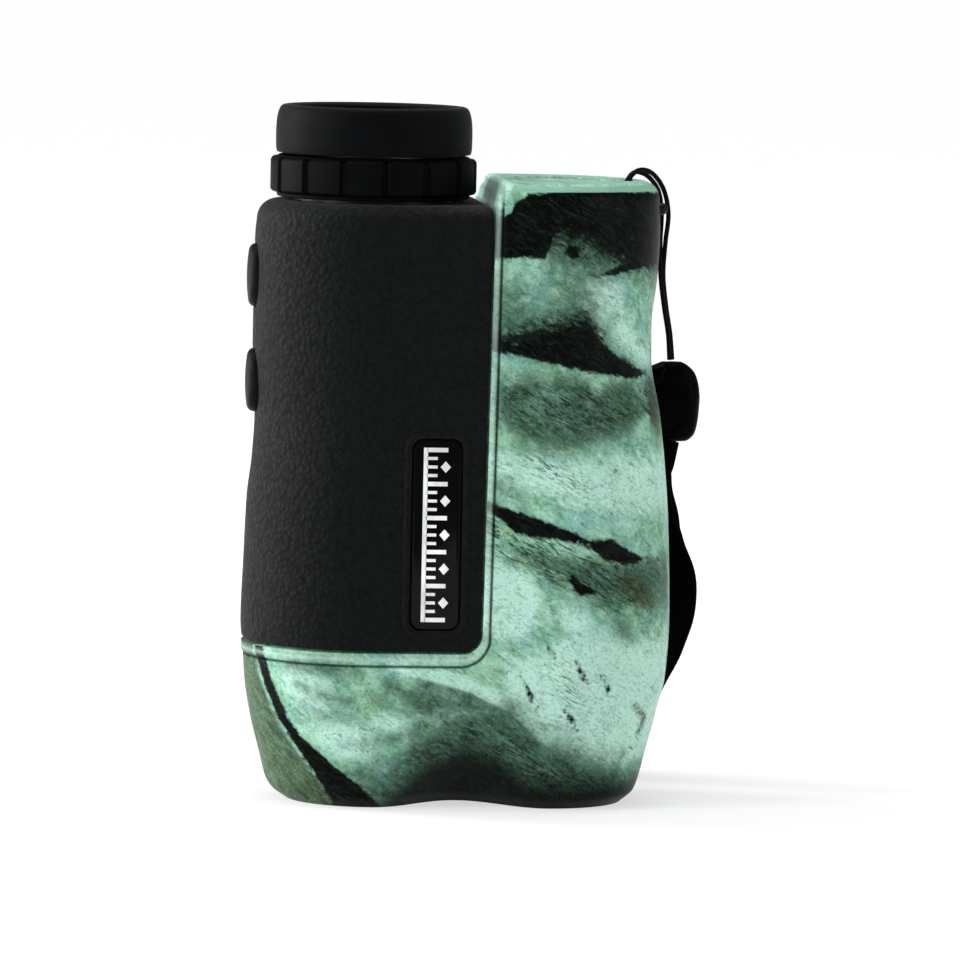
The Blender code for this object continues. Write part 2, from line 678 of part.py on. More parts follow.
# One loop of cord: from the strap end, over the casing's corner, round the pin, and back
CORD_ROUTE = (
    (37.2, 15.0, 72.8), (36.75, 13.9, 77.0), (35.6, 11.2, 82.0), (34.6, 8.8, 87.5),
    (34.3, 7.6, 93.0), (34.3, 6.9, 98.5), (33.5, 6.3, 102.0), (31.3, 5.2, 104.4),
    (29.2, 3.9, 104.8), (27.8, 2.7, 103.3), (27.2, 2.3, 100.9), (27.2, 2.1, 98.4),
    (27.2, 1.2, 96.9), (27.2, 0.0, 96.5), (27.2, -1.2, 96.9), (27.2, -2.1, 98.4),
    (27.2, -2.2, 100.9), (27.6, -1.4, 103.6), (29.4, 0.4, 105.3), (31.9, 2.7, 104.9),
    (34.2, 4.5, 102.2), (35.3, 5.6, 98.0), (35.15, 7.5, 93.0), (35.15, 9.5, 87.5),
    (36.05, 11.95, 82.0), (37.2, 14.7, 77.0), (37.75, 15.75, 72.8),
)

# The wrist loop: centre line of the webbing and the way its width points
WEB_ROUTE = (
    ((34.1, 14.4, 57.6), (0.84, -0.54, 0.0)),
    ((33.1, 15.6, 53.5), (0.88, -0.47, 0.0)),
    ((33.7, 16.0, 47.5), (0.90, -0.43, 0.0)),
    ((35.9, 16.0, 41.0), (0.90, -0.43, 0.05)),
    ((38.0, 16.4, 34.5), (0.90, -0.42, 0.10)),
    ((37.4, 18.0, 28.0), (0.88, -0.30, -0.35)),
    ((34.8, 21.0, 20.5), (0.82, -0.12, -0.50)),
    ((30.4, 25.5, 12.5), (0.80, 0.10, -0.50)),
    ((24.0, 31.0, 5.4), (0.80, 0.40, -0.35)),
    ((15.6, 37.8, 1.7), (0.77, 0.62, -0.10)),
    ((6.6, 45.2, 1.1), (0.71, 0.70, 0.0)),
    ((-2.5, 53.5, 1.1), (0.71, 0.70, 0.0)),
    ((-10.5, 61.5, 1.2), (0.71, 0.70, 0.0)),
    ((-15.2, 66.2, 2.9), (0.71, 0.70, 0.0)),
    ((-16.4, 67.4, 6.0), (0.71, 0.70, 0.0)),
    ((-14.0, 65.0, 8.8), (0.71, 0.70, 0.0)),
    ((-7.0, 58.0, 8.2), (0.71, 0.70, 0.0)),
    ((2.2, 49.7, 5.4), (0.72, 0.69, 0.0)),
    ((11.6, 42.8, 5.8), (0.75, 0.66, 0.0)),
    ((20.6, 37.0, 10.0), (0.80, 0.52, -0.25)),
    ((28.2, 31.8, 17.0), (0.84, 0.25, -0.45)),
    ((33.7, 27.6, 25.5), (0.87, -0.05, -0.45)),
    ((36.7, 24.8, 34.5), (0.89, -0.35, -0.20)),
    ((35.9, 22.6, 43.5), (0.89, -0.45, 0.0)),
    ((33.9, 20.2, 52.0), (0.85, -0.53, 0.0)),
    ((33.6, 18.4, 57.6), (0.75, -0.66, 0.0)),
)


def make_cord(mats):
    points = smooth_route(CORD_ROUTE, 1.9)
    curve = bpy.data.curves.new("strap_cord", "CURVE")
    curve.dimensions = "3D"
    curve.bevel_depth = CORD_D / 2 * MM
    curve.bevel_resolution = 2
    curve.use_fill_caps = True
    curve.render_resolution_u = 0
    spline = curve.splines.new("POLY")
    spline.points.add(len(points) - 1)
    for place, point in zip(spline.points, points):
        place.co = (*(point * MM), 1.0)
    cord = bpy.data.objects.new("strap_cord", curve)
    bpy.context.scene.collection.objects.link(cord)
    curve.materials.append(mats["cord"])


def make_webbing(mats):
    centres = smooth_route([place for place, _ in WEB_ROUTE], 4.0)
    knots = [Vector(place) for place, _ in WEB_ROUTE]
    bm = bmesh.new()
    rings = []
    for i, centre in enumerate(centres):
        ahead = centres[min(i + 1, len(centres) - 1)] - centres[max(i - 1, 0)]
        ahead.normalize()
        weights = [1.0 / ((centre - knot).length + 0.5) ** 3 for knot in knots]
        width = Vector((0, 0, 0))
        for weight, (_, direction) in zip(weights, WEB_ROUTE):
            width += Vector(direction).normalized() * weight
        width -= ahead * width.dot(ahead)
        width.normalize()
        up = ahead.cross(width)
        rings.append([bm.verts.new(centre + width * (a * WEB_WIDTH / 2) + up * (b * WEB_T / 2))
                      for a, b in ((-1, -1), (1, -1), (1, 1), (-1, 1))])
    for a, b in zip(rings, rings[1:]):
        for k in range(4):
            j = (k + 1) % 4
            bm.faces.new((a[k], a[j], b[j], b[k]))
    bm.faces.new(rings[0][::-1])
    bm.faces.new(rings[-1])
    add_object("strap_webbing", bm, mats["cord"])


def make_strap_end(mats):
    """The moulded end that joins the thin cord to the webbing: a flat puck, pinched at its top."""
    levels = ((59.0, 4.9, 2.5, 36.1), (60.2, 5.6, 3.1, 36.2), (62.6, 6.05, 3.5, 36.3),
              (65.8, 6.2, 3.6, 36.4), (69.0, 5.6, 3.2, 36.7), (71.2, 4.2, 2.4, 37.2),
              (72.4, 2.0, 1.5, 37.65))
    steps = 20
    bm = bmesh.new()
    rings = []
    for z, half_x, half_y, x in levels:
        rings.append([bm.verts.new((x + half_x * math.cos(math.tau * k / steps),
                                    16.0 + half_y * math.sin(math.tau * k / steps)
                                    - 0.8 * (z > 70), z))
                      for k in range(steps)])
    for a, b in zip(rings, rings[1:]):
        for k in range(steps):
            j = (k + 1) % steps
            bm.faces.new((a[k], a[j], b[j], b[k]))
    bm.faces.new(rings[0][::-1])
    bm.faces.new(rings[-1])
    add_object("strap_end", bm, mats["rubber"])


def make_strap_pin(mats):
    bm = bmesh.new()
    turned(bm, ((0, 24.9), (1.0, 24.9), (1.0, 33.9), (0.6, 34.4), (0, 34.4)), 0, 12)
    for vert in bm.verts:
        across, side, along = vert.co
        vert.co = (along, side, PIN_Z + across)
    add_object("strap_pin", bm, mats["steel"])


# ---------------------------------------------------------------- the model

def build():
    clear_scene()
    mats = {
        "camo": material("camo_film", (0.26, 0.42, 0.36), 0.35),
        "leatherette": material("leatherette", (0.02, 0.02, 0.022), 0.6),
        "rubber": material("rubber", (0.015, 0.015, 0.016), 0.65),
        "black_plastic": material("black_plastic", (0.02, 0.02, 0.02), 0.4),
        "gloss_black": material("gloss_black", (0.01, 0.01, 0.01), 0.12),
        "black_metal": material("black_metal", (0.03, 0.03, 0.03), 0.4, 0.8),
        "steel": material("steel", (0.6, 0.6, 0.62), 0.3, 1.0),
        "brass": material("brass", (0.8, 0.6, 0.25), 0.3, 1.0),
        "glass": material("glass", (0.75, 0.8, 0.85), 0.05),
        "board": material("board", (0.02, 0.16, 0.07), 0.45),
        "battery": material("battery_sleeve", (0.08, 0.1, 0.3), 0.35),
        "cord": material("cord", (0.01, 0.01, 0.01), 0.8),
    }
    make_shells(mats)
    make_panel(mats)
    make_badge(mats)
    make_screws(mats)
    make_optics(mats)
    make_electronics(mats)
    make_eyepiece(mats)
    make_buttons(mats)
    make_battery(mats)
    make_cord(mats)
    make_webbing(mats)
    make_strap_end(mats)
    make_strap_pin(mats)


build()
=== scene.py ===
"""Looks of the handheld laser rangefinder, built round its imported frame.

Lengths are millimetres in this file and become metres when a mesh is made.
+Z is up: the rangefinder stands on its lens end, and its front flank faces -Y.
"""

import math

import bmesh
import bpy
import numpy as np
from mathutils import Matrix, Vector


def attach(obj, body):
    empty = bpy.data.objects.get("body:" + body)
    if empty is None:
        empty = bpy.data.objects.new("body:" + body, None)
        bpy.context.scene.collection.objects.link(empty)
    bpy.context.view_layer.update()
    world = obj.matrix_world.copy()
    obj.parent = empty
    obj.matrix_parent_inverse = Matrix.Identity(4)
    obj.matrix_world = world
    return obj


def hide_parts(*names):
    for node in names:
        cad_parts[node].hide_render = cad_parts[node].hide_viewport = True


MM = 0.001
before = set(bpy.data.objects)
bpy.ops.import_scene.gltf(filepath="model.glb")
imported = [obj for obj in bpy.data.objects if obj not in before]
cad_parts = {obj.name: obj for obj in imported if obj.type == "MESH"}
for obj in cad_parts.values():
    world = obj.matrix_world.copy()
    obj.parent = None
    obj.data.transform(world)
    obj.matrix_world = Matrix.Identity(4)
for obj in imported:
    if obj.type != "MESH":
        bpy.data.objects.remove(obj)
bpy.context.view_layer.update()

# Sizes that the frame also has
VIEW_X = -14.75          # axis of the eyepiece and the viewing objective
RECEIVER_X = 16.75       # axis of the receiving lens
BATTERY_X = 15.2         # axis of the battery and its cap
DECK_Z = 99.7
COLUMN_Z = 103.7
TOP_EDGE_R = 2.8
LEFT_SIDE = ((0, -27.5), (1.7, -29.9), (3.3, -30.9), (7, -31.9), (14, -33.7), (20, -34.7),
             (24, -35.0), (30, -35.5), (40, -35.2), (50, -34.85), (57, -34.1), (64, -33.75),
             (76, -34.3), (93, -34.2), (99.7, -33.6))
RIGHT_SIDE = ((0, 28.6), (2, 30.8), (5, 31.8), (8, 32.5), (13, 33.8), (16, 34.5), (21, 35.7),
              (30, 36.2), (46, 35.7), (58, 34.7), (65, 33.8), (74, 32.2), (80, 32.1),
              (88, 32.9), (95, 33.2), (103.7, 32.8))
HALF_DEPTH = ((0, 13.5), (2, 15.8), (7, 17.8), (14, 19.0), (22, 19.6), (28, 19.8), (64, 19.8),
              (80, 19.6), (103.7, 19.3))
VALLEY_DEPTH = 9.5
VALLEY_TOP = 16.0
GAP = 0.3
PANEL_T = 1.4
RECESS = PANEL_T + GAP
CAVITY = RECESS + 1.5
CAVITY_FLOOR_Z = 8.0
PANEL_RIGHT_X = 2.85
PANEL_LEAN = 0.0114
PANEL_BOTTOM_Z = 26.5
PANEL_CORNER_R = 3.0
WELL_R = 10.3
HOLE_R = 13.5
BUTTON_Z = {"power": 87.0, "mode": 69.6}
BUTTON_LONG = 10.6
BUTTON_WIDE = 8.0
BUTTON_FACE_X = -35.45
BUTTON_LEDGE_X = -31.6
CAP_R = 8.4
PIN_Z = 99.0
POCKET = (25.4, 29.0, 3.4, 95.2)     # low X, high X, half of Y, floor Z
SCREWS = ((1.0, 22.0, 9.0), (0.6, 58.0, 9.0), (0.8, 88.0, 9.0), (27.6, 58.0, 7.5),
          (-28.8, 44.0, 6.0))
BADGE_X = -4.85
BADGE_Z = 45.9
BADGE_SIZE = (8.5, 31.8)
BADGE_FLOOR_Y = -18.9
CORD_D = 0.8
WEB_WIDTH = 10.0
WEB_T = 1.4


# ---------------------------------------------------------------- meshes

def linked(name, data):
    obj = bpy.data.objects.new(name, data)
    bpy.context.scene.collection.objects.link(obj)
    return obj


def from_bmesh(name, bm, mat=None, sharp=35.0):
    """Turns a bmesh in millimetres into a smooth object at the origin."""
    bmesh.ops.recalc_face_normals(bm, faces=bm.faces[:])
    mesh = bpy.data.meshes.new(name)
    bm.to_mesh(mesh)
    bm.free()
    mesh.transform(Matrix.Scale(MM, 4))
    mesh.shade_smooth()
    mesh.set_sharp_from_angle(angle=math.radians(sharp))
    obj = linked(name, mesh)
    if mat:
        mesh.materials.append(mat)
    return obj


def one_material(obj, mat):
    """Drops the empty slots that a Boolean leaves, and gives the object its material."""
    obj.data.materials.clear()
    obj.data.materials.append(mat)


def store(obj, name, values):
    """Keeps a number for each point of a mesh, for its material to read."""
    layer = obj.data.attributes.new(name, "FLOAT", "POINT")
    layer.data.foreach_set("value", values.astype(np.float32))


def piece(obj, body, *nodes):
    """Hangs a piece on the empty of the body it rides on, and hides the CAD nodes that it stands
    for.
    """
    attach(obj, body)
    if nodes:
        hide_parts(*nodes)
    return obj


def cut(obj, operation, other):
    """Applies a Boolean and removes the cutter."""
    mod = obj.modifiers.new("cut", "BOOLEAN")
    mod.operation = operation
    mod.object = other
    mod.solver = "EXACT"
    graph = bpy.context.evaluated_depsgraph_get()
    result = bpy.data.meshes.new_from_object(obj.evaluated_get(graph))
    if len(result.polygons) == 0:
        raise RuntimeError(f"{operation} on {obj.name} left nothing")
    obj.modifiers.clear()
    old, obj.data = obj.data, result
    bpy.data.meshes.remove(old)
    bpy.data.objects.remove(other, do_unlink=True)
    return obj


def curve_values(knots, at):
    """Monotone cubic curve through the knots, with harmonic-mean slopes; flat beyond its ends."""
    xs, ys = np.array(knots, float).T
    at = np.clip(np.asarray(at, float), xs[0], xs[-1])
    slopes = np.diff(ys) / np.diff(xs)
    before, after = slopes[:-1], slopes[1:]
    same_way = before * after > 0
    total = np.where(same_way, before + after, 1.0)
    inner = np.where(same_way, 2 * before * after / total, 0.0)
    tangents = np.concatenate(([slopes[0]], inner, [slopes[-1]]))
    i = np.clip(np.searchsorted(xs, at, side="right") - 1, 0, len(xs) - 2)
    width = xs[i + 1] - xs[i]
    t = (at - xs[i]) / width
    return (ys[i] * (1 + 2 * t) * (1 - t) ** 2 + tangents[i] * width * t * (1 - t) ** 2
            + ys[i + 1] * t * t * (3 - 2 * t) + tangents[i + 1] * width * t * t * (t - 1))


def section(z, inset=0.0):
    """Half of the casing's depth at a height, and the X of its two round sides' centres."""
    depth = curve_values(HALF_DEPTH, z) - inset
    return (depth, curve_values(LEFT_SIDE, z) + inset + depth,
            curve_values(RIGHT_SIDE, z) - inset - depth)


def smoothstep(t):
    t = np.clip(t, 0.0, 1.0)
    return t * t * (3 - 2 * t)


def prism(bm, outline, place):
    """Adds a closed prism: place(u, v, end) gives the corner for end 0 and end 1."""
    ends = [[bm.verts.new(place(u, v, end)) for u, v in outline] for end in (0, 1)]
    count = len(outline)
    for i in range(count):
        j = (i + 1) % count
        bm.faces.new((ends[0][i], ends[0][j], ends[1][j], ends[1][i]))
    bm.faces.new(ends[0][::-1])
    bm.faces.new(ends[1])


def block(bm, low, high):
    outline = ((low[0], low[1]), (high[0], low[1]), (high[0], high[1]), (low[0], high[1]))
    prism(bm, outline, lambda u, v, end: (u, v, (low[2], high[2])[end]))


def rounded_outline(width, height, radius, steps=8):
    """Rounded rectangle about (0, 0), counter-clockwise."""
    points = []
    for quarter in range(4):
        cx = (width / 2 - radius) * (1, -1, -1, 1)[quarter]
        cy = (height / 2 - radius) * (1, 1, -1, -1)[quarter]
        for k in range(steps + 1):
            angle = math.pi / 2 * (quarter + k / steps)
            points.append((cx + radius * math.cos(angle), cy + radius * math.sin(angle)))
    return points


def circle(radius, steps):
    return [(radius * math.cos(math.tau * k / steps), radius * math.sin(math.tau * k / steps))
            for k in range(steps)]


def round_bar(bm, axis, start, end, radius, steps=48):
    """Adds a round bar along "x", "y" or "z" from a start point to a coordinate on that axis."""
    a = "xyz".index(axis)
    first, second = (a + 1) % 3, (a + 2) % 3

    def place(u, v, which):
        point = list(start)
        point[a] = (start[a], end)[which]
        point[first] += u
        point[second] += v
        return point

    prism(bm, circle(radius, steps), place)


def band_faces(bm, rings):
    """Joins each closed ring of vertices to the next."""
    for a, b in zip(rings, rings[1:]):
        for k in range(len(a)):
            j = (k + 1) % len(a)
            bm.faces.new((a[k], a[j], b[j], b[k]))


def stack(bm, rings):
    """Skins rings of points, and closes the first and the last."""
    rings = [[bm.verts.new(p) for p in ring] for ring in rings]
    band_faces(bm, rings)
    bm.faces.new(rings[0][::-1])
    bm.faces.new(rings[-1])


def rounded_profile(corners, steps=4):
    """Rounds the corners of a closed profile: each corner is (radius, z, rounding)."""
    out = []
    count = len(corners)
    for i, (r, z, rounding) in enumerate(corners):
        here = np.array((r, z), float)
        if not rounding:
            out.append((r, z))
            continue
        before = np.array(corners[i - 1][:2], float) - here
        after = np.array(corners[(i + 1) % count][:2], float) - here
        before *= min(rounding, np.linalg.norm(before) * 0.49) / np.linalg.norm(before)
        after *= min(rounding, np.linalg.norm(after) * 0.49) / np.linalg.norm(after)
        for k in range(steps + 1):
            t = k / steps
            point = here + before * (1 - t) ** 2 + after * t ** 2
            out.append((max(float(point[0]), 0.0), float(point[1])))
    return out


def turned(bm, profile, x, steps=96, radius_at=None):
    """Turns a closed profile of (radius, z) about the vertical axis at (x, 0).

    radius_at(radius, z, angle) may change a point's radius.
    """
    rings = []
    for r, z in profile:
        if r < 1e-6:
            rings.append([bm.verts.new((x, 0.0, z))])
            continue
        ring = []
        for k in range(steps):
            angle = math.tau * k / steps
            radius = radius_at(r, z, angle) if radius_at else r
            ring.append(bm.verts.new((x + radius * math.cos(angle),
                                      radius * math.sin(angle), z)))
        rings.append(ring)
    count = len(rings)
    for i in range(count):
        a, b = rings[i], rings[(i + 1) % count]
        if len(a) == 1 and len(b) == 1:
            continue
        for k in range(steps):
            j = (k + 1) % steps
            corners = [a[k % len(a)], a[j % len(a)], b[j % len(b)], b[k % len(b)]]
            bm.faces.new(list(dict.fromkeys(corners)))


def turned_piece(name, corners, x, mat, steps=96, radius_at=None, sharp=35.0, round_steps=4):
    bm = bmesh.new()
    turned(bm, rounded_profile(corners, round_steps), x, steps, radius_at)
    return from_bmesh(name, bm, mat, sharp)


def smooth_route(points, spacing):
    """Evenly spaced points on a smooth curve (centripetal Catmull-Rom) through the points."""
    route = [Vector(p) for p in points]
    route = [2 * route[0] - route[1], *route, 2 * route[-1] - route[-2]]
    dense = []
    for p0, p1, p2, p3 in zip(route, route[1:], route[2:], route[3:]):
        t1 = (p1 - p0).length ** 0.5
        t2 = t1 + (p2 - p1).length ** 0.5
        t3 = t2 + (p3 - p2).length ** 0.5
        for k in range(16):
            t = t1 + (t2 - t1) * k / 16
            a1 = p0 * ((t1 - t) / t1) + p1 * (t / t1)
            a2 = p1 * ((t2 - t) / (t2 - t1)) + p2 * ((t - t1) / (t2 - t1))
            a3 = p2 * ((t3 - t) / (t3 - t2)) + p3 * ((t - t2) / (t3 - t2))
            b1 = a1 * ((t2 - t) / t2) + a2 * (t / t2)
            b2 = a2 * ((t3 - t) / (t3 - t1)) + a3 * ((t - t1) / (t3 - t1))
            dense.append(b1 * ((t2 - t) / (t2 - t1)) + b2 * ((t - t1) / (t2 - t1)))
    dense.append(route[-2])
    lengths = [0.0]
    for a, b in zip(dense, dense[1:]):
        lengths.append(lengths[-1] + (b - a).length)
    count = max(2, round(lengths[-1] / spacing))
    out, i = [], 0
    for k in range(count + 1):
        goal = lengths[-1] * k / count
        while i < len(dense) - 2 and lengths[i + 1] < goal:
            i += 1
        span = lengths[i + 1] - lengths[i]
        out.append(dense[i].lerp(dense[i + 1], (goal - lengths[i]) / span))
    return out


# ---------------------------------------------------------------- camera, light and floor

CAMERA_AT = (4.05, 0.0, 53.3)
CAMERA_AZIMUTH = -5.5
CAMERA_DISTANCE = 1200.0
CAMERA_HEIGHT = 160.0
CAMERA_ROLL = 1.2
LENS_MM = 270.0

# Name, place, target, width and height in millimetres, and watts
LIGHTS = (
    ("softbox_left", (-760, -330, 330), (-10, 0, 60), (260, 620), 5.2),
    ("edge_left", (-620, 240, 240), (-20, 0, 60), (160, 520), 4.4),
    ("softbox_right", (740, -420, 340), (10, 0, 50), (320, 520), 2.0),
    ("softbox_top", (-40, 60, 760), (0, 0, 60), (520, 420), 3.0),
)
WORLD_GLOW = 0.28
FLOOR_HALF = 9000


def aimed(place, target):
    """Turn that points a camera or light from its place at its target."""
    return (Vector(target) - Vector(place)).to_track_quat("-Z", "Y").to_matrix().to_4x4()


def make_camera():
    camera = linked("camera", bpy.data.cameras.new("camera"))
    camera.data.lens = LENS_MM
    camera.data.sensor_width = 36.0
    camera.data.clip_start = 0.05
    camera.data.clip_end = 50.0
    drop = CAMERA_HEIGHT - CAMERA_AT[2]
    flat = math.sqrt(CAMERA_DISTANCE ** 2 - drop ** 2)
    turn = math.radians(CAMERA_AZIMUTH)
    place = Vector((CAMERA_AT[0] + flat * math.sin(turn), CAMERA_AT[1] - flat * math.cos(turn),
                    CAMERA_HEIGHT))
    look = aimed(place, CAMERA_AT)
    roll = Matrix.Rotation(math.radians(CAMERA_ROLL), 4, "Z")
    camera.matrix_world = Matrix.Translation(place * MM) @ look @ roll
    bpy.context.scene.camera = camera


def make_studio():
    for name, place, target, (width, height), watts in LIGHTS:
        light = bpy.data.lights.new(name, "AREA")
        light.shape = "RECTANGLE"
        light.size, light.size_y = width * MM, height * MM
        light.energy = watts
        linked(name, light).matrix_world = (Matrix.Translation(Vector(place) * MM)
                                            @ aimed(place, target))

    world = bpy.data.worlds.new("studio")
    bpy.context.scene.world = world
    world.use_nodes = True
    back = world.node_tree.nodes["Background"]
    back.inputs["Color"].default_value = (1.0, 1.0, 1.0, 1.0)
    back.inputs["Strength"].default_value = WORLD_GLOW

    bm = bmesh.new()
    bm.faces.new([bm.verts.new((x * FLOOR_HALF, y * FLOOR_HALF, 0))
                  for x, y in ((-1, -1), (1, -1), (1, 1), (-1, 1))])
    from_bmesh("floor", bm, floor_material())

    view = bpy.context.scene.view_settings
    view.view_transform = "Standard"
    view.look = "None"


# ---------------------------------------------------------------- materials

class Nodes:
    """A material's node tree, with short calls for the few nodes used here."""

    def __init__(self, name):
        self.mat = bpy.data.materials.new(name)
        self.mat.use_nodes = True
        self.tree = self.mat.node_tree
        self.shader = self.tree.nodes["Principled BSDF"]
        self.object_coords = None

    def put(self, socket, value):
        if isinstance(value, bpy.types.NodeSocket):
            self.tree.links.new(value, socket)
        elif isinstance(value, tuple) and len(value) == 3 and socket.type == "RGBA":
            socket.default_value = (*value, 1.0)
        else:
            socket.default_value = value

    def node(self, kind, output=0, inputs=(), **settings):
        made = self.tree.nodes.new("ShaderNode" + kind)
        for key, value in settings.items():
            setattr(made, key, value)
        for key, value in dict(inputs).items():
            self.put(made.inputs[key], value)
        return made.outputs[output]

    def coords(self, scale=(1.0, 1.0, 1.0), turn=(0.0, 0.0, 0.0)):
        """Object coordinates in millimetres, scaled and then turned, in degrees."""
        if self.object_coords is None:
            self.object_coords = self.node("TexCoord", "Object")
        base = self.node("VectorMath", 0, {0: self.object_coords, 3: 1000.0}, operation="SCALE")
        return self.node("Mapping", 0, {
            "Vector": base, "Scale": tuple(scale),
            "Rotation": tuple(math.radians(a) for a in turn)})

    def math(self, operation, *values, clamp=False):
        return self.node("Math", 0, dict(enumerate(values)), operation=operation,
                         use_clamp=clamp)

    def add(self, *values, clamp=False):
        return self.math("ADD", *values, clamp=clamp)

    def times(self, *values):
        return self.math("MULTIPLY", *values)

    def rest(self, value):
        """What is left of 1."""
        return self.math("SUBTRACT", 1.0, value)

    def noise(self, vector, scale=1.0, detail=4.0, rough=0.55, distortion=0.0):
        return self.node("TexNoise", 0, {"Vector": vector, "Scale": scale, "Detail": detail,
                                         "Roughness": rough, "Distortion": distortion})

    def step(self, value, low, high):
        """Smooth step from 0 at low to 1 at high."""
        return self.node("MapRange", 0, {"Value": value, "From Min": low, "From Max": high},
                         interpolation_type="SMOOTHSTEP")

    def mix(self, factor, a, b, amount=1.0, blend="MIX"):
        """Colour b over colour a, where the factor is 1 and by that amount."""
        if amount != 1.0:
            factor = self.times(factor, amount)
        return self.node("Mix", 2, {0: factor, 6: a, 7: b}, data_type="RGBA", blend_type=blend)

    def attribute(self, name):
        return self.node("Attribute", "Fac", attribute_type="GEOMETRY", attribute_name=name)

    def bump(self, height, distance, strength=1.0):
        return self.node("Bump", 0, {"Height": height, "Distance": distance * MM,
                                     "Strength": strength})

    def finish(self, **inputs):
        names = {"colour": "Base Color", "roughness": "Roughness", "metallic": "Metallic",
                 "normal": "Normal", "specular": "Specular IOR Level", "coat": "Coat Weight",
                 "coat_roughness": "Coat Roughness", "sheen": "Sheen Weight",
                 "transmission": "Transmission Weight", "ior": "IOR",
                 "emission": "Emission Color", "emission_strength": "Emission Strength"}
        for key, value in inputs.items():
            self.put(self.shader.inputs[names[key]], value)
        return self.mat


def srgb(red, green, blue):
    """Linear colour from 0-255 sRGB values."""
    values = [v / 255 for v in (red, green, blue)]
    return tuple(v / 12.92 if v <= 0.04045 else ((v + 0.055) / 1.055) ** 2.4 for v in values)


def floor_material():
    """Plain pale floor, a little less bright where the object stands."""
    n = Nodes("floor")
    away = n.node("VectorMath", "Value", {0: n.coords((0.001, 0.001, 0.001))}, operation="LENGTH")
    glow = n.add(0.6, n.times(n.step(away, 0.05, 0.5), 0.28))
    return n.finish(colour=(0.4, 0.4, 0.4), roughness=0.9, specular=0.0,
                    emission=(1.0, 1.0, 1.0), emission_strength=glow)


def leatherette_material():
    """Black rubber with a pebbled leather grain."""
    n = Nodes("leatherette")
    at = n.coords()
    wobble = n.noise(n.coords((0.9,) * 3), 1.0, 3.0)
    pebbles = n.node("TexVoronoi", 0, {"Vector": at, "Scale": 1.15, "Smoothness": 0.55},
                     feature="SMOOTH_F1")
    small = n.node("TexVoronoi", 0, {"Vector": at, "Scale": 2.5, "Smoothness": 0.5},
                   feature="SMOOTH_F1")
    fine = n.noise(at, 5.0, 3.0, 0.6)
    height = n.add(n.times(pebbles, -0.9), n.times(small, -0.35))
    height = n.add(height, n.times(n.add(wobble, fine), 0.25))
    # Painted shade: the hollows between the pebbles are darker than the pebbles' tops.
    colour = n.mix(n.step(pebbles, 0.1, 0.8), srgb(11, 13, 13), srgb(4, 6, 6))
    colour = n.mix(n.step(wobble, 0.35, 0.7), colour, srgb(9, 11, 11))
    rough = n.add(0.5, n.times(n.step(pebbles, 0.0, 0.9), 0.22))
    return n.finish(colour=colour, roughness=rough, specular=0.07, sheen=0.05,
                    normal=n.bump(height, 0.17, 1.0))


def rubber_material(name, colour, roughness=0.6, grain=3.0, depth=0.02, specular=0.3,
                    sheen=0.0):
    """Matt moulded rubber or plastic with a fine grain and faint handling marks."""
    n = Nodes(name)
    at = n.coords()
    fine = n.noise(at, grain, 4.0, 0.6)
    cloud = n.noise(at, 0.16, 3.0, 0.6)
    darker = tuple(c * 0.75 for c in colour)
    lighter = tuple(c * 1.3 for c in colour)
    tone = n.mix(n.step(cloud, 0.3, 0.72), darker, lighter)
    rough = n.add(n.times(cloud, 0.14),
                   n.add(roughness - 0.1, n.times(fine, 0.07)))
    return n.finish(colour=tone, roughness=rough, specular=specular, sheen=sheen,
                    normal=n.bump(fine, depth, 0.8))


def metal_material(name, colour, roughness=0.35, grain=(0.4, 0.4, 9.0), depth=0.006):
    """Turned or brushed metal: the grain is stretched round the piece."""
    n = Nodes(name)
    lines = n.noise(n.coords(grain), 1.0, 3.0, 0.6)
    cloud = n.noise(n.coords(), 0.25, 3.0, 0.6)
    tone = n.mix(n.step(cloud, 0.3, 0.75), tuple(c * 0.8 for c in colour), colour)
    rough = n.add(roughness - 0.1, n.times(lines, 0.2))
    return n.finish(colour=tone, roughness=rough, metallic=1.0,
                    normal=n.bump(lines, depth, 0.7))


def lens_material(name, tint):
    """Coated glass over a dark inside, drawn opaque: its dark colour is painted shade of the
    inside, and the coating's brighter tint towards the edges is a painted reflection.
    """
    n = Nodes(name)
    dust = n.noise(n.coords(), 1.4, 5.0, 0.7)
    # Painted reflection: the colour turns to a brighter tint of the coating where the glass is
    # seen edge-on.
    ring = n.node("LayerWeight", "Facing", {"Blend": 0.35})
    cloud = n.noise(n.coords(), 0.06, 2.0, 0.5)
    # Painted shade: the dark tint stands in for the unlit inside seen through the glass.
    inside = n.mix(n.step(cloud, 0.3, 0.7), tint, tuple(c * 0.55 for c in tint))
    colour = n.mix(ring, inside, tuple(min(1.0, c * 2.2 + 0.02) for c in tint))
    rough = n.add(0.03, n.times(n.step(dust, 0.55, 0.9), 0.1))
    return n.finish(colour=colour, roughness=rough, specular=0.75, coat=1.0,
                    coat_roughness=0.02)


def glass_material(name, tint):
    n = Nodes(name)
    smear = n.noise(n.coords(), 0.5, 4.0, 0.7)
    colour = n.mix(n.step(smear, 0.4, 0.8), tint, tuple(min(1.0, c * 1.1) for c in tint))
    rough = n.add(0.02, n.times(smear, 0.05))
    return n.finish(colour=colour, roughness=rough, transmission=0.85, ior=1.5)


def board_material():
    """Green circuit board with tracks and solder specks."""
    n = Nodes("circuit_board")
    tracks = n.node("TexBrick", 1, {"Vector": n.coords((0.5, 0.5, 0.5)), "Scale": 1.0,
                                    "Mortar Size": 0.05, "Mortar Smooth": 0.1})
    specks = n.node("TexVoronoi", 0, {"Vector": n.coords(), "Scale": 0.55}, feature="F1")
    colour = n.mix(n.step(tracks, 0.3, 0.7), srgb(16, 74, 44), srgb(40, 120, 72))
    colour = n.mix(n.step(specks, 0.16, 0.1), colour, srgb(190, 188, 176))
    return n.finish(colour=colour, roughness=n.add(0.3, n.times(specks, 0.2)),
                    normal=n.bump(tracks, 0.03, 0.5))


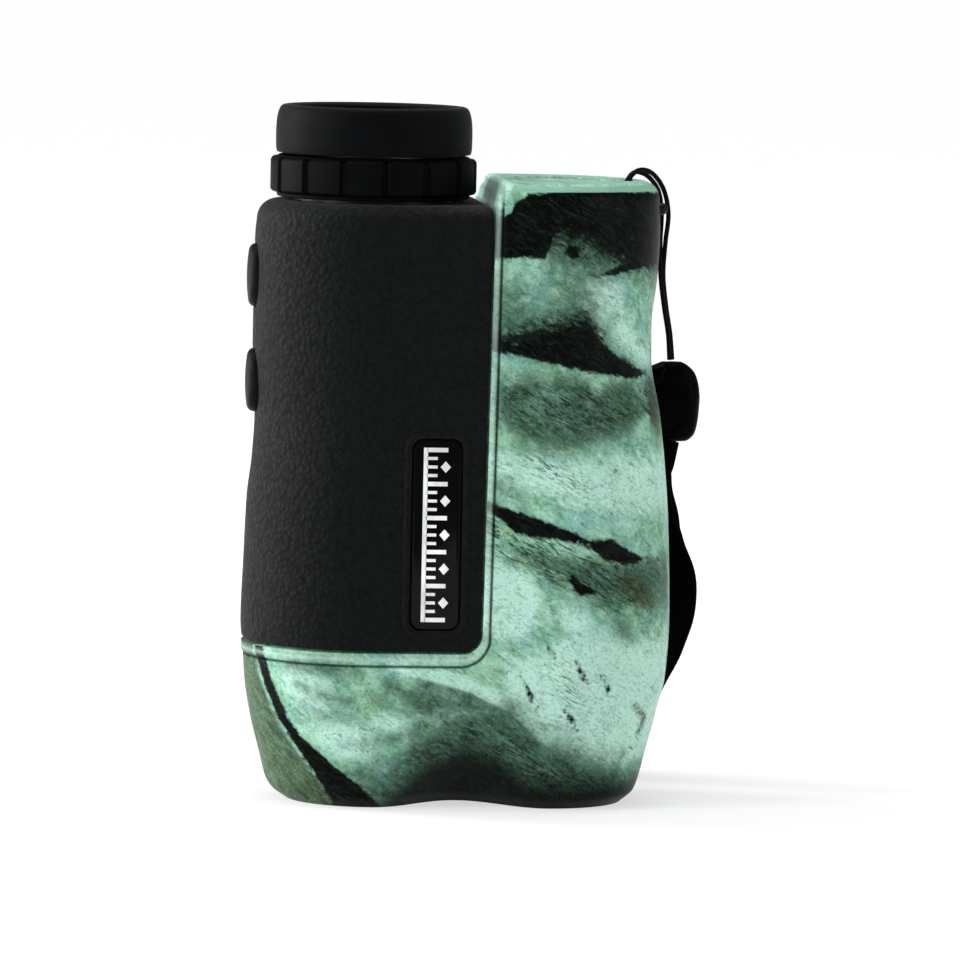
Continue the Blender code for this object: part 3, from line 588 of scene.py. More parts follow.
def battery_material():
    """Plain shrink sleeve with a darker band and bare metal ends."""
    n = Nodes("battery_sleeve")
    height = n.node("SeparateXYZ", "Z", {0: n.coords()})
    cloud = n.noise(n.coords((1.0, 1.0, 0.2)), 0.6, 4.0, 0.6)
    sleeve = n.mix(n.step(cloud, 0.3, 0.7), srgb(28, 44, 92), srgb(38, 58, 116))
    sleeve = n.mix(n.step(height, 86.0, 86.4), sleeve, srgb(190, 160, 88))
    ends = n.add(n.step(height, 94.2, 94.5), n.step(height, 68.9, 68.6), clamp=True)
    colour = n.mix(ends, sleeve, srgb(196, 196, 200))
    return n.finish(colour=colour, roughness=n.add(0.25, n.times(cloud, 0.15)),
                    metallic=ends, normal=n.bump(cloud, 0.02, 0.4))


def cord_material():
    """Braided black cord: two crossing sets of fine ridges."""
    n = Nodes("braided_cord")
    ridges = [n.node("TexWave", 0, {"Vector": n.coords((1.0, 1.0, 1.3), turn), "Scale": 1.3,
                                    "Distortion": 0.8, "Detail": 1.0},
                     wave_type="BANDS", bands_direction="Z")
              for turn in ((35, 20, 0), (-35, -20, 0))]
    weave = n.math("MAXIMUM", *ridges)
    # Painted shade: the grooves between the braid's ridges are darker than the ridges.
    colour = n.mix(weave, srgb(2, 2, 2), srgb(9, 9, 10))
    return n.finish(colour=colour, roughness=0.75, specular=0.08, normal=n.bump(weave, 0.08, 0.9))


def webbing_material():
    """Woven nylon tape: the ribs follow the ribbon's own length and width."""
    n = Nodes("woven_tape")
    along, across = n.attribute("along"), n.attribute("across")
    rib = n.math("SINE", n.times(across, 2 * math.pi / 0.9))
    weft = n.math("SINE", n.add(n.times(along, 2 * math.pi / 0.55),
                                 n.times(rib, 1.4)))
    fuzz = n.noise(n.coords(), 2.6, 3.0, 0.7)
    height = n.add(n.times(n.add(rib, weft), 0.25),
                    n.times(fuzz, 0.4))
    # Painted shade: the low parts of the weave are darker than the ribs.
    colour = n.mix(n.step(height, -0.3, 0.6), srgb(1, 1, 1), srgb(7, 7, 8))
    return n.finish(colour=colour, roughness=0.85, specular=0.01,
                    normal=n.bump(height, 0.09, 0.9))


# ---------------------------------------------------------------- strap

CORD_ROUTE = (
    (37.2, 15.0, 72.8), (36.75, 13.9, 77.0), (35.6, 11.2, 82.0), (34.6, 8.8, 87.5),
    (34.3, 7.6, 93.0), (34.3, 6.9, 98.5), (33.5, 6.3, 102.0), (31.3, 5.2, 104.4),
    (29.2, 3.9, 104.8), (27.8, 2.7, 103.3), (27.2, 2.3, 100.9), (27.2, 2.1, 98.4),
    (27.2, 1.2, 96.9), (27.2, 0.0, 96.5), (27.2, -1.2, 96.9), (27.2, -2.1, 98.4),
    (27.2, -2.2, 100.9), (27.6, -1.4, 103.6), (29.4, 0.4, 105.3), (31.9, 2.7, 104.9),
    (34.2, 4.5, 102.2), (35.3, 5.6, 98.0), (35.15, 7.5, 93.0), (35.15, 9.5, 87.5),
    (36.05, 11.95, 82.0), (37.2, 14.7, 77.0), (37.75, 15.75, 72.8),
)

# The wrist loop: centre line of the webbing and the way its width points
WEB_ROUTE = (
    ((34.1, 14.4, 57.6), (0.84, -0.54, 0.0)),
    ((33.1, 15.6, 53.5), (0.88, -0.47, 0.0)),
    ((33.7, 16.0, 47.5), (0.90, -0.43, 0.0)),
    ((35.9, 16.0, 41.0), (0.90, -0.43, 0.05)),
    ((38.0, 16.4, 34.5), (0.90, -0.42, 0.10)),
    ((37.4, 18.0, 28.0), (0.88, -0.30, -0.35)),
    ((34.8, 21.0, 20.5), (0.82, -0.12, -0.50)),
    ((30.4, 25.5, 12.5), (0.80, 0.10, -0.50)),
    ((24.0, 31.0, 5.4), (0.80, 0.40, -0.35)),
    ((15.6, 37.8, 1.7), (0.77, 0.62, -0.10)),
    ((6.6, 45.2, 1.1), (0.71, 0.70, 0.0)),
    ((-2.5, 53.5, 1.1), (0.71, 0.70, 0.0)),
    ((-10.5, 61.5, 1.2), (0.71, 0.70, 0.0)),
    ((-15.2, 66.2, 2.9), (0.71, 0.70, 0.0)),
    ((-16.4, 67.4, 6.0), (0.71, 0.70, 0.0)),
    ((-14.0, 65.0, 8.8), (0.71, 0.70, 0.0)),
    ((-7.0, 58.0, 8.2), (0.71, 0.70, 0.0)),
    ((2.2, 49.7, 5.4), (0.72, 0.69, 0.0)),
    ((11.6, 42.8, 5.8), (0.75, 0.66, 0.0)),
    ((20.6, 37.0, 10.0), (0.80, 0.52, -0.25)),
    ((28.2, 31.8, 17.0), (0.84, 0.25, -0.45)),
    ((33.7, 27.6, 25.5), (0.87, -0.05, -0.45)),
    ((36.7, 24.8, 34.5), (0.89, -0.35, -0.20)),
    ((35.9, 22.6, 43.5), (0.89, -0.45, 0.0)),
    ((33.9, 20.2, 52.0), (0.85, -0.53, 0.0)),
    ((33.6, 18.4, 57.6), (0.75, -0.66, 0.0)),
)


def route_length(points):
    return sum((b - a).length for a, b in zip(points, points[1:])) * MM


def make_cord(mat):
    points = smooth_route(CORD_ROUTE, 0.5)
    curve = bpy.data.curves.new("strap_cord_braid", "CURVE")
    curve.dimensions = "3D"
    curve.bevel_depth = CORD_D / 2 * MM
    curve.bevel_resolution = 3
    curve.use_fill_caps = True
    spline = curve.splines.new("POLY")
    spline.points.add(len(points) - 1)
    for place, point in zip(spline.points, points):
        place.co = (*(point * MM), 1.0)
    curve.materials.append(mat)
    return linked("strap_cord_braid", curve), route_length(points)


def make_webbing(mat):
    """Flat woven tape with thicker, slightly rounded selvedges."""
    section = [(-1.0, -0.30), (-0.93, -0.5), (-0.84, -0.38), (-0.45, -0.34), (0.0, -0.36),
               (0.45, -0.34), (0.84, -0.38), (0.93, -0.5), (1.0, -0.30)]
    section += [(a, -b) for a, b in reversed(section)]
    spacing = 0.8
    centres = smooth_route([place for place, _ in WEB_ROUTE], spacing)
    centres.insert(0, centres[0] + Vector((0.5, 0.3, 2.0)))     # into the moulded end
    centres.append(centres[-1] + Vector((0.2, -0.7, 2.0)))
    knots = np.array([place for place, _ in WEB_ROUTE])
    ways = np.array([Vector(way).normalized() for _, way in WEB_ROUTE])
    rings, rows = [], []
    for i, centre in enumerate(centres):
        ahead = centres[min(i + 1, len(centres) - 1)] - centres[max(i - 1, 0)]
        ahead.normalize()
        weights = 1.0 / (np.linalg.norm(knots - np.array(centre), axis=1) + 1.5) ** 3
        width = Vector((ways * weights[:, None]).sum(axis=0))
        width -= ahead * width.dot(ahead)
        width.normalize()
        up = ahead.cross(width)
        half = WEB_WIDTH / 2 * (1 + 0.012 * math.sin(i * 0.23) + 0.01 * math.sin(i * 0.71))
        curl = 0.25 * math.sin(i * 0.043 + 0.8)
        rings.append([centre + width * (a * half) + up * (b * WEB_T + curl * (a * a - 0.4))
                      for a, b in section])
        rows.append([(i * spacing, a * half) for a, _ in section])
    bm = bmesh.new()
    stack(bm, rings)
    obj = from_bmesh("wrist_webbing", bm, mat, sharp=60)
    along, across = np.array(rows).reshape(-1, 2).T
    store(obj, "along", along)
    store(obj, "across", across)
    path = [tuple(p * MM) for p in centres[::4]] + [tuple(centres[-1] * MM)]
    return obj, path, route_length(centres)


def make_strap_end(mat):
    """The moulded end: a flat puck with a raised rim, pinched to an eye at its top.

    A level is its Z, half its width, half its thickness, and the X of its middle.
    """
    levels = ((59.0, 4.4, 2.1, 36.1), (59.3, 4.9, 2.5, 36.1), (60.2, 5.6, 3.0, 36.2),
              (61.6, 5.95, 3.3, 36.25), (63.4, 6.15, 3.5, 36.3), (65.8, 6.2, 3.55, 36.4),
              (67.6, 5.95, 3.4, 36.55), (69.3, 5.35, 3.05, 36.8), (70.7, 4.4, 2.5, 37.1),
              (71.6, 3.3, 2.0, 37.35), (72.1, 2.4, 1.6, 37.55), (72.4, 1.7, 1.3, 37.6))
    steps = 64
    roundness = 2.5          # of the superellipse: 2 is an ellipse
    middle_y, lean_y = 16.0, 0.8
    zs, xs, ys, cs = np.array(levels).T
    heights = np.concatenate((np.linspace(59.0, 60.0, 6), np.linspace(60.3, 71.2, 36),
                              np.linspace(71.5, 72.4, 8)))
    rings = []
    for z in heights:
        half_x, half_y, x = (float(curve_values(np.column_stack((zs, v)), z))
                             for v in (xs, ys, cs))
        ring = []
        for k in range(steps):
            angle = math.tau * k / steps
            c, s = math.cos(angle), math.sin(angle)
            px = half_x * math.copysign(abs(c) ** (2 / roundness), c)
            py = half_y * math.copysign(abs(s) ** (2 / roundness), s)
            share = math.hypot(px / 6.2, (z - 65.0) / 7.0)
            dish = 0.42 * float(smoothstep((0.72 - share) / 0.12)) * abs(s) ** 3
            py -= math.copysign(min(dish, abs(py) * 0.4), s)
            crease = 0.55 * math.exp(-((px + 0.6) / 0.35) ** 2) * float(
                smoothstep((z - 68.4) / 1.6)) * abs(s)
            py -= math.copysign(min(crease, abs(py) * 0.4), s)
            back = lean_y * float(smoothstep((z - 68.5) / 3.0))
            ring.append((x + px, middle_y + py - back, z))
        rings.append(ring)
    bm = bmesh.new()
    stack(bm, rings)
    return from_bmesh("strap_toggle", bm, mat, sharp=50)


def make_strap(mats):
    toggle = piece(make_strap_end(mats["toggle"]), "casing", "strap_end")
    cord, length = make_cord(mats["cord"])
    piece(cord, "casing", "strap_cord")
    tape, path, length = make_webbing(mats["webbing"])
    piece(tape, "casing", "strap_webbing")


# ---------------------------------------------------------------- casing

STEP_AT_X = 4.6          # the column's rounded shoulder begins here
STEP_WIDE = 1.7
FLATS = (-13.5, 11.5)    # columns between the two round sides stand at fixed X
BODY_TOP_Z = 94.2        # the walls stop here, and the rounded top edge starts above
PARTING = 0.14           # half of the seam between the two shells
GROOVE_BESIDE, GROOVE_BELOW = 1.45, 2.4      # the outer groove's distance from the panel
BEAD_RISE, GROOVE_DEEP = 0.24, 0.42


def corner_distance(dx, dz, radius):
    """Signed distance outside a rounded corner, from the distances past its two sides."""
    qx, qz = dx + radius, dz + radius
    return (np.hypot(np.maximum(qx, 0), np.maximum(qz, 0)) + np.minimum(np.maximum(qx, qz), 0)
            - radius)


def panel_distance(x, z):
    """Signed distance outside the rubber panel's outline, which has one rounded corner."""
    dz = PANEL_BOTTOM_Z - z
    return corner_distance(x - PANEL_RIGHT_X + PANEL_LEAN * dz, dz, PANEL_CORNER_R)


def bead_lines(x, z):
    """How far from the panel the outer groove and the middle of the bead are."""
    below = np.maximum(PANEL_BOTTOM_Z - z + PANEL_CORNER_R, 0)
    beside = np.maximum(x - PANEL_RIGHT_X + PANEL_CORNER_R, 0)
    outer = GROOVE_BESIDE + (GROOVE_BELOW - GROOVE_BESIDE) * (
        np.arctan2(below, beside + 1e-9) / (math.pi / 2))
    return outer, (outer + 0.1) / 2


def bead(x, z):
    """Outward offset of the shell beside the panel: a low bead, then a fine groove."""
    away = panel_distance(x, z)
    outer, middle = bead_lines(x, z)
    half = (outer - 0.3) / 2
    rise = BEAD_RISE * np.sqrt(np.clip(1 - ((away - middle) / half) ** 2, 0, 1))
    crease = -0.16 * (outer - GROOVE_BESIDE) * np.exp(-((away - 0.9) / 0.14) ** 2)
    return rise + crease - GROOVE_DEEP * np.exp(-((away - outer) / 0.18) ** 2)


def deck_height(x):
    """The top: the deck under the eyepiece, and the shoulder up to the battery column."""
    s = np.clip((x - STEP_AT_X) / STEP_WIDE, 0, 1)
    return DECK_Z + (COLUMN_Z - DECK_Z) * np.sqrt(np.clip(1 - (1 - s) ** 2, 0, 1)) ** 1.15


def walls_and_edge(outline, levels, top, steps):
    """Rows of points up the walls, and on round the top edge.

    outline(z, inset) gives X and Y of every column; each level and the top have a Z for each.
    """
    wall_top = levels[-1]
    rows = [(z, 0.0) for z in levels]
    rows += [(wall_top + (top - TOP_EDGE_R - wall_top) * share, 0.0) for share in (0.33, 0.66)]
    for k in range(steps + 1):
        angle = math.pi / 2 * k / steps
        rows.append((top - TOP_EDGE_R * (1 - math.sin(angle)),
                     TOP_EDGE_R * (1 - math.cos(angle))))
    return [np.stack((*outline(z, inset), z), axis=-1) for z, inset in rows]


def casing_grid(columns, levels):
    """Half of the casing's outside as a grid of points, rows by columns.

    A column is ("left", angle), ("flat", x), ("blend", share) or ("right", angle), and its
    points have Y >= 0. The bead beside the panel is raised square to the outline.
    """
    kinds = np.array([kind for kind, _ in columns])
    values = np.array([value for _, value in columns])

    def outline(z, inset):
        depth, left, right = section(z, inset)
        x = np.where(kinds == "flat", values, 0.0)
        x = np.where(kinds == "blend", FLATS[1] + values * (right - FLATS[1]), x)
        x = np.where(kinds == "left", left - depth * np.cos(values), x)
        x = np.where(kinds == "right", right + depth * np.cos(values), x)
        across = np.clip((x - left) / (right - left), 0, 1)
        sink = VALLEY_DEPTH * (1 - smoothstep(z / VALLEY_TOP)) * np.sin(np.pi * across) ** 2
        y = np.where((kinds == "left") | (kinds == "right"), depth * np.sin(values),
                     depth - sink)
        return x, np.maximum(y, 0.0)

    ones = np.ones(len(columns))
    top = deck_height(outline(99.0 * ones, 0.0)[0])
    grid = np.stack(walls_and_edge(outline, [z * ones for z in levels], top, 9))
    normal = np.cross(np.gradient(grid, axis=1), np.gradient(grid, axis=0))
    normal *= np.sign(normal[..., 1:2] + 1e-9)
    normal /= np.linalg.norm(normal, axis=2, keepdims=True) + 1e-12
    x, y, z = np.moveaxis(grid, 2, 0)
    grid = grid + normal * (bead(x, z) * smoothstep((y - 0.1) / 0.8))[..., None]
    lid = [grid[-1] * (1.0, share, 1.0) for share in (0.82, 0.6, 0.36, 0.15, 0.0)]
    for row in lid:
        row[:, 2] = deck_height(row[:, 0])
    bottom = [grid[0] * (1.0, share, 1.0) for share in (0.0, 0.35, 0.7)]
    return np.concatenate((bottom, grid, lid))


def grid_faces(bm, verts):
    for a, b in zip(verts, verts[1:]):
        for i in range(len(a) - 1):
            corners = list(dict.fromkeys((a[i], a[i + 1], b[i + 1], b[i])))
            if len(corners) > 2:
                bm.faces.new(corners)


def shell_columns():
    n = 40
    columns = [("left", math.pi / 2 * k / n) for k in range(n + 1)]
    xs = list(np.arange(FLATS[0], -0.5, 0.65)) + list(np.arange(0.0, 2.6, 0.3))
    xs += list(np.arange(2.7, 8.9, 0.14)) + list(np.arange(9.2, FLATS[1] + 0.1, 0.45))
    columns += [("flat", float(x)) for x in xs]
    columns += [("blend", share) for share in (0.25, 0.5, 0.75)]
    columns += [("right", math.pi / 2 * (1 - k / n)) for k in range(n + 1)]
    return columns


def shell_levels():
    return np.concatenate((np.linspace(0, 3, 9)[:-1], np.arange(3, 23.5, 0.6),
                           np.arange(23.6, 31.0, 0.15), np.arange(31.3, BODY_TOP_Z, 0.62)))


def make_shell_skin(name, side):
    grid = casing_grid(shell_columns(), shell_levels())
    grid[..., 1] = np.maximum(grid[..., 1], PARTING) * side
    bm = bmesh.new()
    grid_faces(bm, [[bm.verts.new(p) for p in row] for row in grid])
    bmesh.ops.remove_doubles(bm, verts=bm.verts[:], dist=1e-5)
    rim = [e for e in bm.edges if len(e.link_faces) == 1]
    bmesh.ops.contextual_create(bm, geom=rim)
    return from_bmesh(name, bm)


def coarse_casing(name, inset, floor, levels=(14, 20, 28, 44, 58, 66, 76, 84, 92)):
    """The casing shrunk by an inset, coarse and closed, for cutting with."""
    kinds = [("left", math.pi / 2 * k / 10) for k in range(11)]
    kinds += [("flat", x) for x in (-8.0, -1.5, 2.2, 4.6, 6.4, 10.0)]
    kinds += [("right", math.pi / 2 * (1 - k / 10)) for k in range(11)]
    bm = bmesh.new()
    loops = []
    heights = [floor] + [z for z in levels if z > floor + 0.5] + ["top"]
    for level in heights:
        ring = []
        for kind, value in kinds:
            z = level
            if level == "top":
                high = kind == "right" or (kind == "flat" and value > 4.7)
                z = (COLUMN_Z if high else DECK_Z) - inset
            depth, left, right = map(float, section(z, inset))
            if kind == "left":
                x, y = left - depth * math.cos(value), depth * math.sin(value)
            elif kind == "right":
                x, y = right + depth * math.cos(value), depth * math.sin(value)
            else:
                across = (value - left) / (right - left)
                sink = VALLEY_DEPTH * (1 - float(smoothstep(z / VALLEY_TOP)))
                x, y = value, depth - sink * math.sin(math.pi * across) ** 2
            ring.append((x, y, z))
        front = [(x, -y, z) for x, y, z in ring]
        back = [(x, y, z) for x, y, z in reversed(ring[1:-1])]
        loops.append(front + back)
    rings = [[bm.verts.new(p) for p in loop] for loop in loops]
    band_faces(bm, rings)
    for ring in (rings[0], rings[-1]):
        for i in range(len(kinds) - 1):
            mirror = [ring[-k % len(ring)] for k in (i, i + 1)]
            bm.faces.new(list(dict.fromkeys((ring[i], ring[i + 1], mirror[1], mirror[0]))))
    return from_bmesh(name, bm)


def pill(bm, sections, z, steps=12):
    """Adds one solid through pill-shaped sections of (length along Z, width along Y, X)."""
    stack(bm, [[(x, u, z + v) for u, v in rounded_outline(wide, long, wide / 2 - 0.01, steps)]
               for long, wide, x in sections])


def zone_prism(grow):
    right, low, radius = PANEL_RIGHT_X + grow, PANEL_BOTTOM_Z - grow, PANEL_CORNER_R + grow
    outline = [(-60.0, low)]
    for k in range(13):
        angle = -math.pi / 2 + math.pi / 2 * k / 12
        outline.append((right - radius + radius * math.cos(angle),
                        low + radius + radius * math.sin(angle)))
    outline += [(right, 130.0), (-60.0, 130.0)]
    bm = bmesh.new()
    prism(bm, outline, lambda u, v, end: (u + PANEL_LEAN * (v - PANEL_BOTTOM_Z),
                                          (-50.0, 50.0)[end], v))
    return from_bmesh("panel_zone", bm)


def shell_holes():
    """Every hole that goes right through the shells, in groups that don't touch."""
    bm = bmesh.new()
    for x in (VIEW_X, RECEIVER_X):
        turned(bm, ((0, -5), (WELL_R + 0.9, -5), (WELL_R + 0.9, 0.0), (WELL_R + 0.5, 0.12),
                    (WELL_R + 0.15, 0.45), (WELL_R, 0.95), (WELL_R, CAVITY_FLOOR_Z + 1),
                    (0, CAVITY_FLOOR_Z + 1)), x, 96)
    round_bar(bm, "z", (VIEW_X, 0, DECK_Z - 5), 120, HOLE_R, 96)
    turned(bm, ((0, COLUMN_Z - 5), (CAP_R + GAP, COLUMN_Z - 5), (CAP_R + GAP, COLUMN_Z - 0.5),
                (CAP_R + 0.62, COLUMN_Z + 0.02), (CAP_R + 0.62, 120), (0, 120)), BATTERY_X, 96)
    long, wide = BUTTON_LONG + 2 * GAP, BUTTON_WIDE + 2 * GAP
    for z in BUTTON_Z.values():
        pill(bm, ((long, wide, -45), (long, wide, BUTTON_LEDGE_X),
                  (long + 1.6, wide + 1.2, BUTTON_LEDGE_X), (long + 1.6, wide + 1.2, -28)), z)
    low_x, high_x, half_y, floor_z = POCKET
    prism(bm, rounded_outline(high_x - low_x, 2 * half_y, 0.9, 5),
          lambda u, v, end: ((low_x + high_x) / 2 + u, v, (floor_z, 120)[end]))
    pin = bmesh.new()
    round_bar(pin, "x", (24.6, 0, PIN_Z), 45, 1.3, 24)
    shaft, head = bmesh.new(), bmesh.new()
    for x, z, seat in SCREWS:
        round_bar(shaft, "y", (x, -10, z), 30, 1.3, 20)
        round_bar(head, "y", (x, seat - GAP, z), 45, 2.2, 32)
    return [from_bmesh(n, b) for n, b in (("holes", bm), ("pin_hole", pin), ("shafts", shaft),
                                          ("heads", head))]


def make_shells(mat):
    """Two shells with the same holes, walls and bosses as their CAD nodes."""
    out = []
    for name, node, side in (("front_casing_shell", "front_shell", -1),
                             ("back_casing_shell", "back_shell", 1)):
        keep = bmesh.new()
        for x, z, _ in SCREWS:
            round_bar(keep, "y", (x, -40, z), 40, 2.9, 24)
        block(keep, (24.4, -5.4, 93.6), (40, 5.4, 110))
        cavity = cut(coarse_casing("cavity", CAVITY, CAVITY_FLOOR_Z), "DIFFERENCE",
                     from_bmesh("kept", keep))
        recess = cut(zone_prism(GAP), "DIFFERENCE", coarse_casing(
            "core", RECESS, -0.9, (0.8, 2, 4.5, 7, 10.5, 14, 18, 23, 30, 44, 58, 66, 76, 84, 92)))
        shell = make_shell_skin(name, side)
        for other in (recess, cavity, *shell_holes()):
            cut(shell, "DIFFERENCE", other)
        one_material(shell, mat)
        out.append(piece(shell, "casing", node))
    return out


# ---------------------------------------------------------------- camouflage pattern

# The pattern is laid out on the unrolled casing: U runs round it from the
# middle of the front flank, Z is height. Each layer is a signed distance in
# millimetres, positive inside, which the material roughens with noise.
FRONT_Y = 19.8
VIEW_SLOPE = 0.087       # how far the front view shifts sideways for each mm of depth
EDGE_REACH = 0.985       # share of a round side that the front view reaches
ROUND_THE_SIDE = 9.0     # how far a point outside the outline goes on past it
OFF = 9.0                # takes a layer's distance out of reach of the noise
SEAM_SHADE, RIDGE_SHINE = 0.24, 0.45           # half widths of the painted shade in the groove and of the painted highlight on the bead


def wrap(x, y, z):
    """U of a point on the casing: X on the flats, arc length round the two sides."""
    depth, left, right = section(z)
    y = np.abs(y)
    round_left = np.arctan2(np.maximum(left - x, 0), np.maximum(y, 1e-6))
    round_right = np.arctan2(np.maximum(x - right, 0), np.maximum(y, 1e-6))
    return np.clip(x, left, right) - depth * round_left + depth * round_right


def seen(points):
    """Turns front-view points (X, Z) into (U, Z), allowing for the flank curving away.

    A point outside the outline goes on round the side.
    """
    out = []
    for x, z in points:
        depth, left, right = map(float, section(z))

        def reach_at(place):
            return min(max(left - place, place - right, 0.0) / depth, EDGE_REACH)

        place = x
        for _ in range(5):
            place = x + VIEW_SLOPE * (FRONT_Y - depth * math.sqrt(1 - reach_at(place) ** 2))
        reach = math.copysign(reach_at(place), place - left)
        beyond = ROUND_THE_SIDE if abs(reach) > EDGE_REACH - 0.005 else 0.0
        out.append((min(max(place, left), right) + depth * math.asin(reach)
                    + math.copysign(beyond, reach), z))
    return out


def band(u, z, upper, lower, upper_soft=1.0, lower_soft=1.0):
    """Between two edges, and inside the stretch of U that they cover.

    A soft edge's distance is divided by its softness, so that it fades over a longer way.
    """
    upper, lower = np.array(seen(upper)), np.array(seen(lower))
    high = np.interp(u, upper[:, 0], upper[:, 1])
    low = np.interp(u, lower[:, 0], lower[:, 1])
    ends = np.minimum(u - max(upper[0, 0], lower[0, 0]) + 1.0,
                      min(upper[-1, 0], lower[-1, 0]) - u + 1.0)
    return np.minimum(np.minimum((high - z) / upper_soft, (z - low) / lower_soft), ends)


def stroke(u, z, points, widths):
    """A brush stroke along a line of points, with a half width at each point."""
    points = seen(points)
    best = np.full(u.shape, -99.0)
    for (ua, za), (ub, zb), wa, wb in zip(points, points[1:], widths, widths[1:]):
        du, dz = ub - ua, zb - za
        t = np.clip(((u - ua) * du + (z - za) * dz) / (du * du + dz * dz), 0, 1)
        away = np.hypot(u - ua - t * du, z - za - t * dz)
        best = np.maximum(best, wa + (wb - wa) * t - away)
    return best


def blob(u, z, place, radii, turn=0.0):
    """A rough ellipse, turned anticlockwise by degrees."""
    (cu, cz), = seen([place])
    c, s = math.cos(math.radians(turn)), math.sin(math.radians(turn))
    du, dz = u - cu, z - cz
    along, across = du * c + dz * s, dz * c - du * s
    return (1 - np.hypot(along / radii[0], across / radii[1])) * min(radii)


def left_edge(u, z):
    """Distance to the left of the line that bounds the olive flank."""
    line = np.array(seen(((-20.0, -1.0), (-20.6, 1.0), (-22.4, 4.2), (-26.0, 8.8), (-30.2, 14.5),
                          (-33.3, 21.6), (-34.6, 27.3))))
    return (np.interp(z, line[:, 1], line[:, 0]) - u) * 0.85


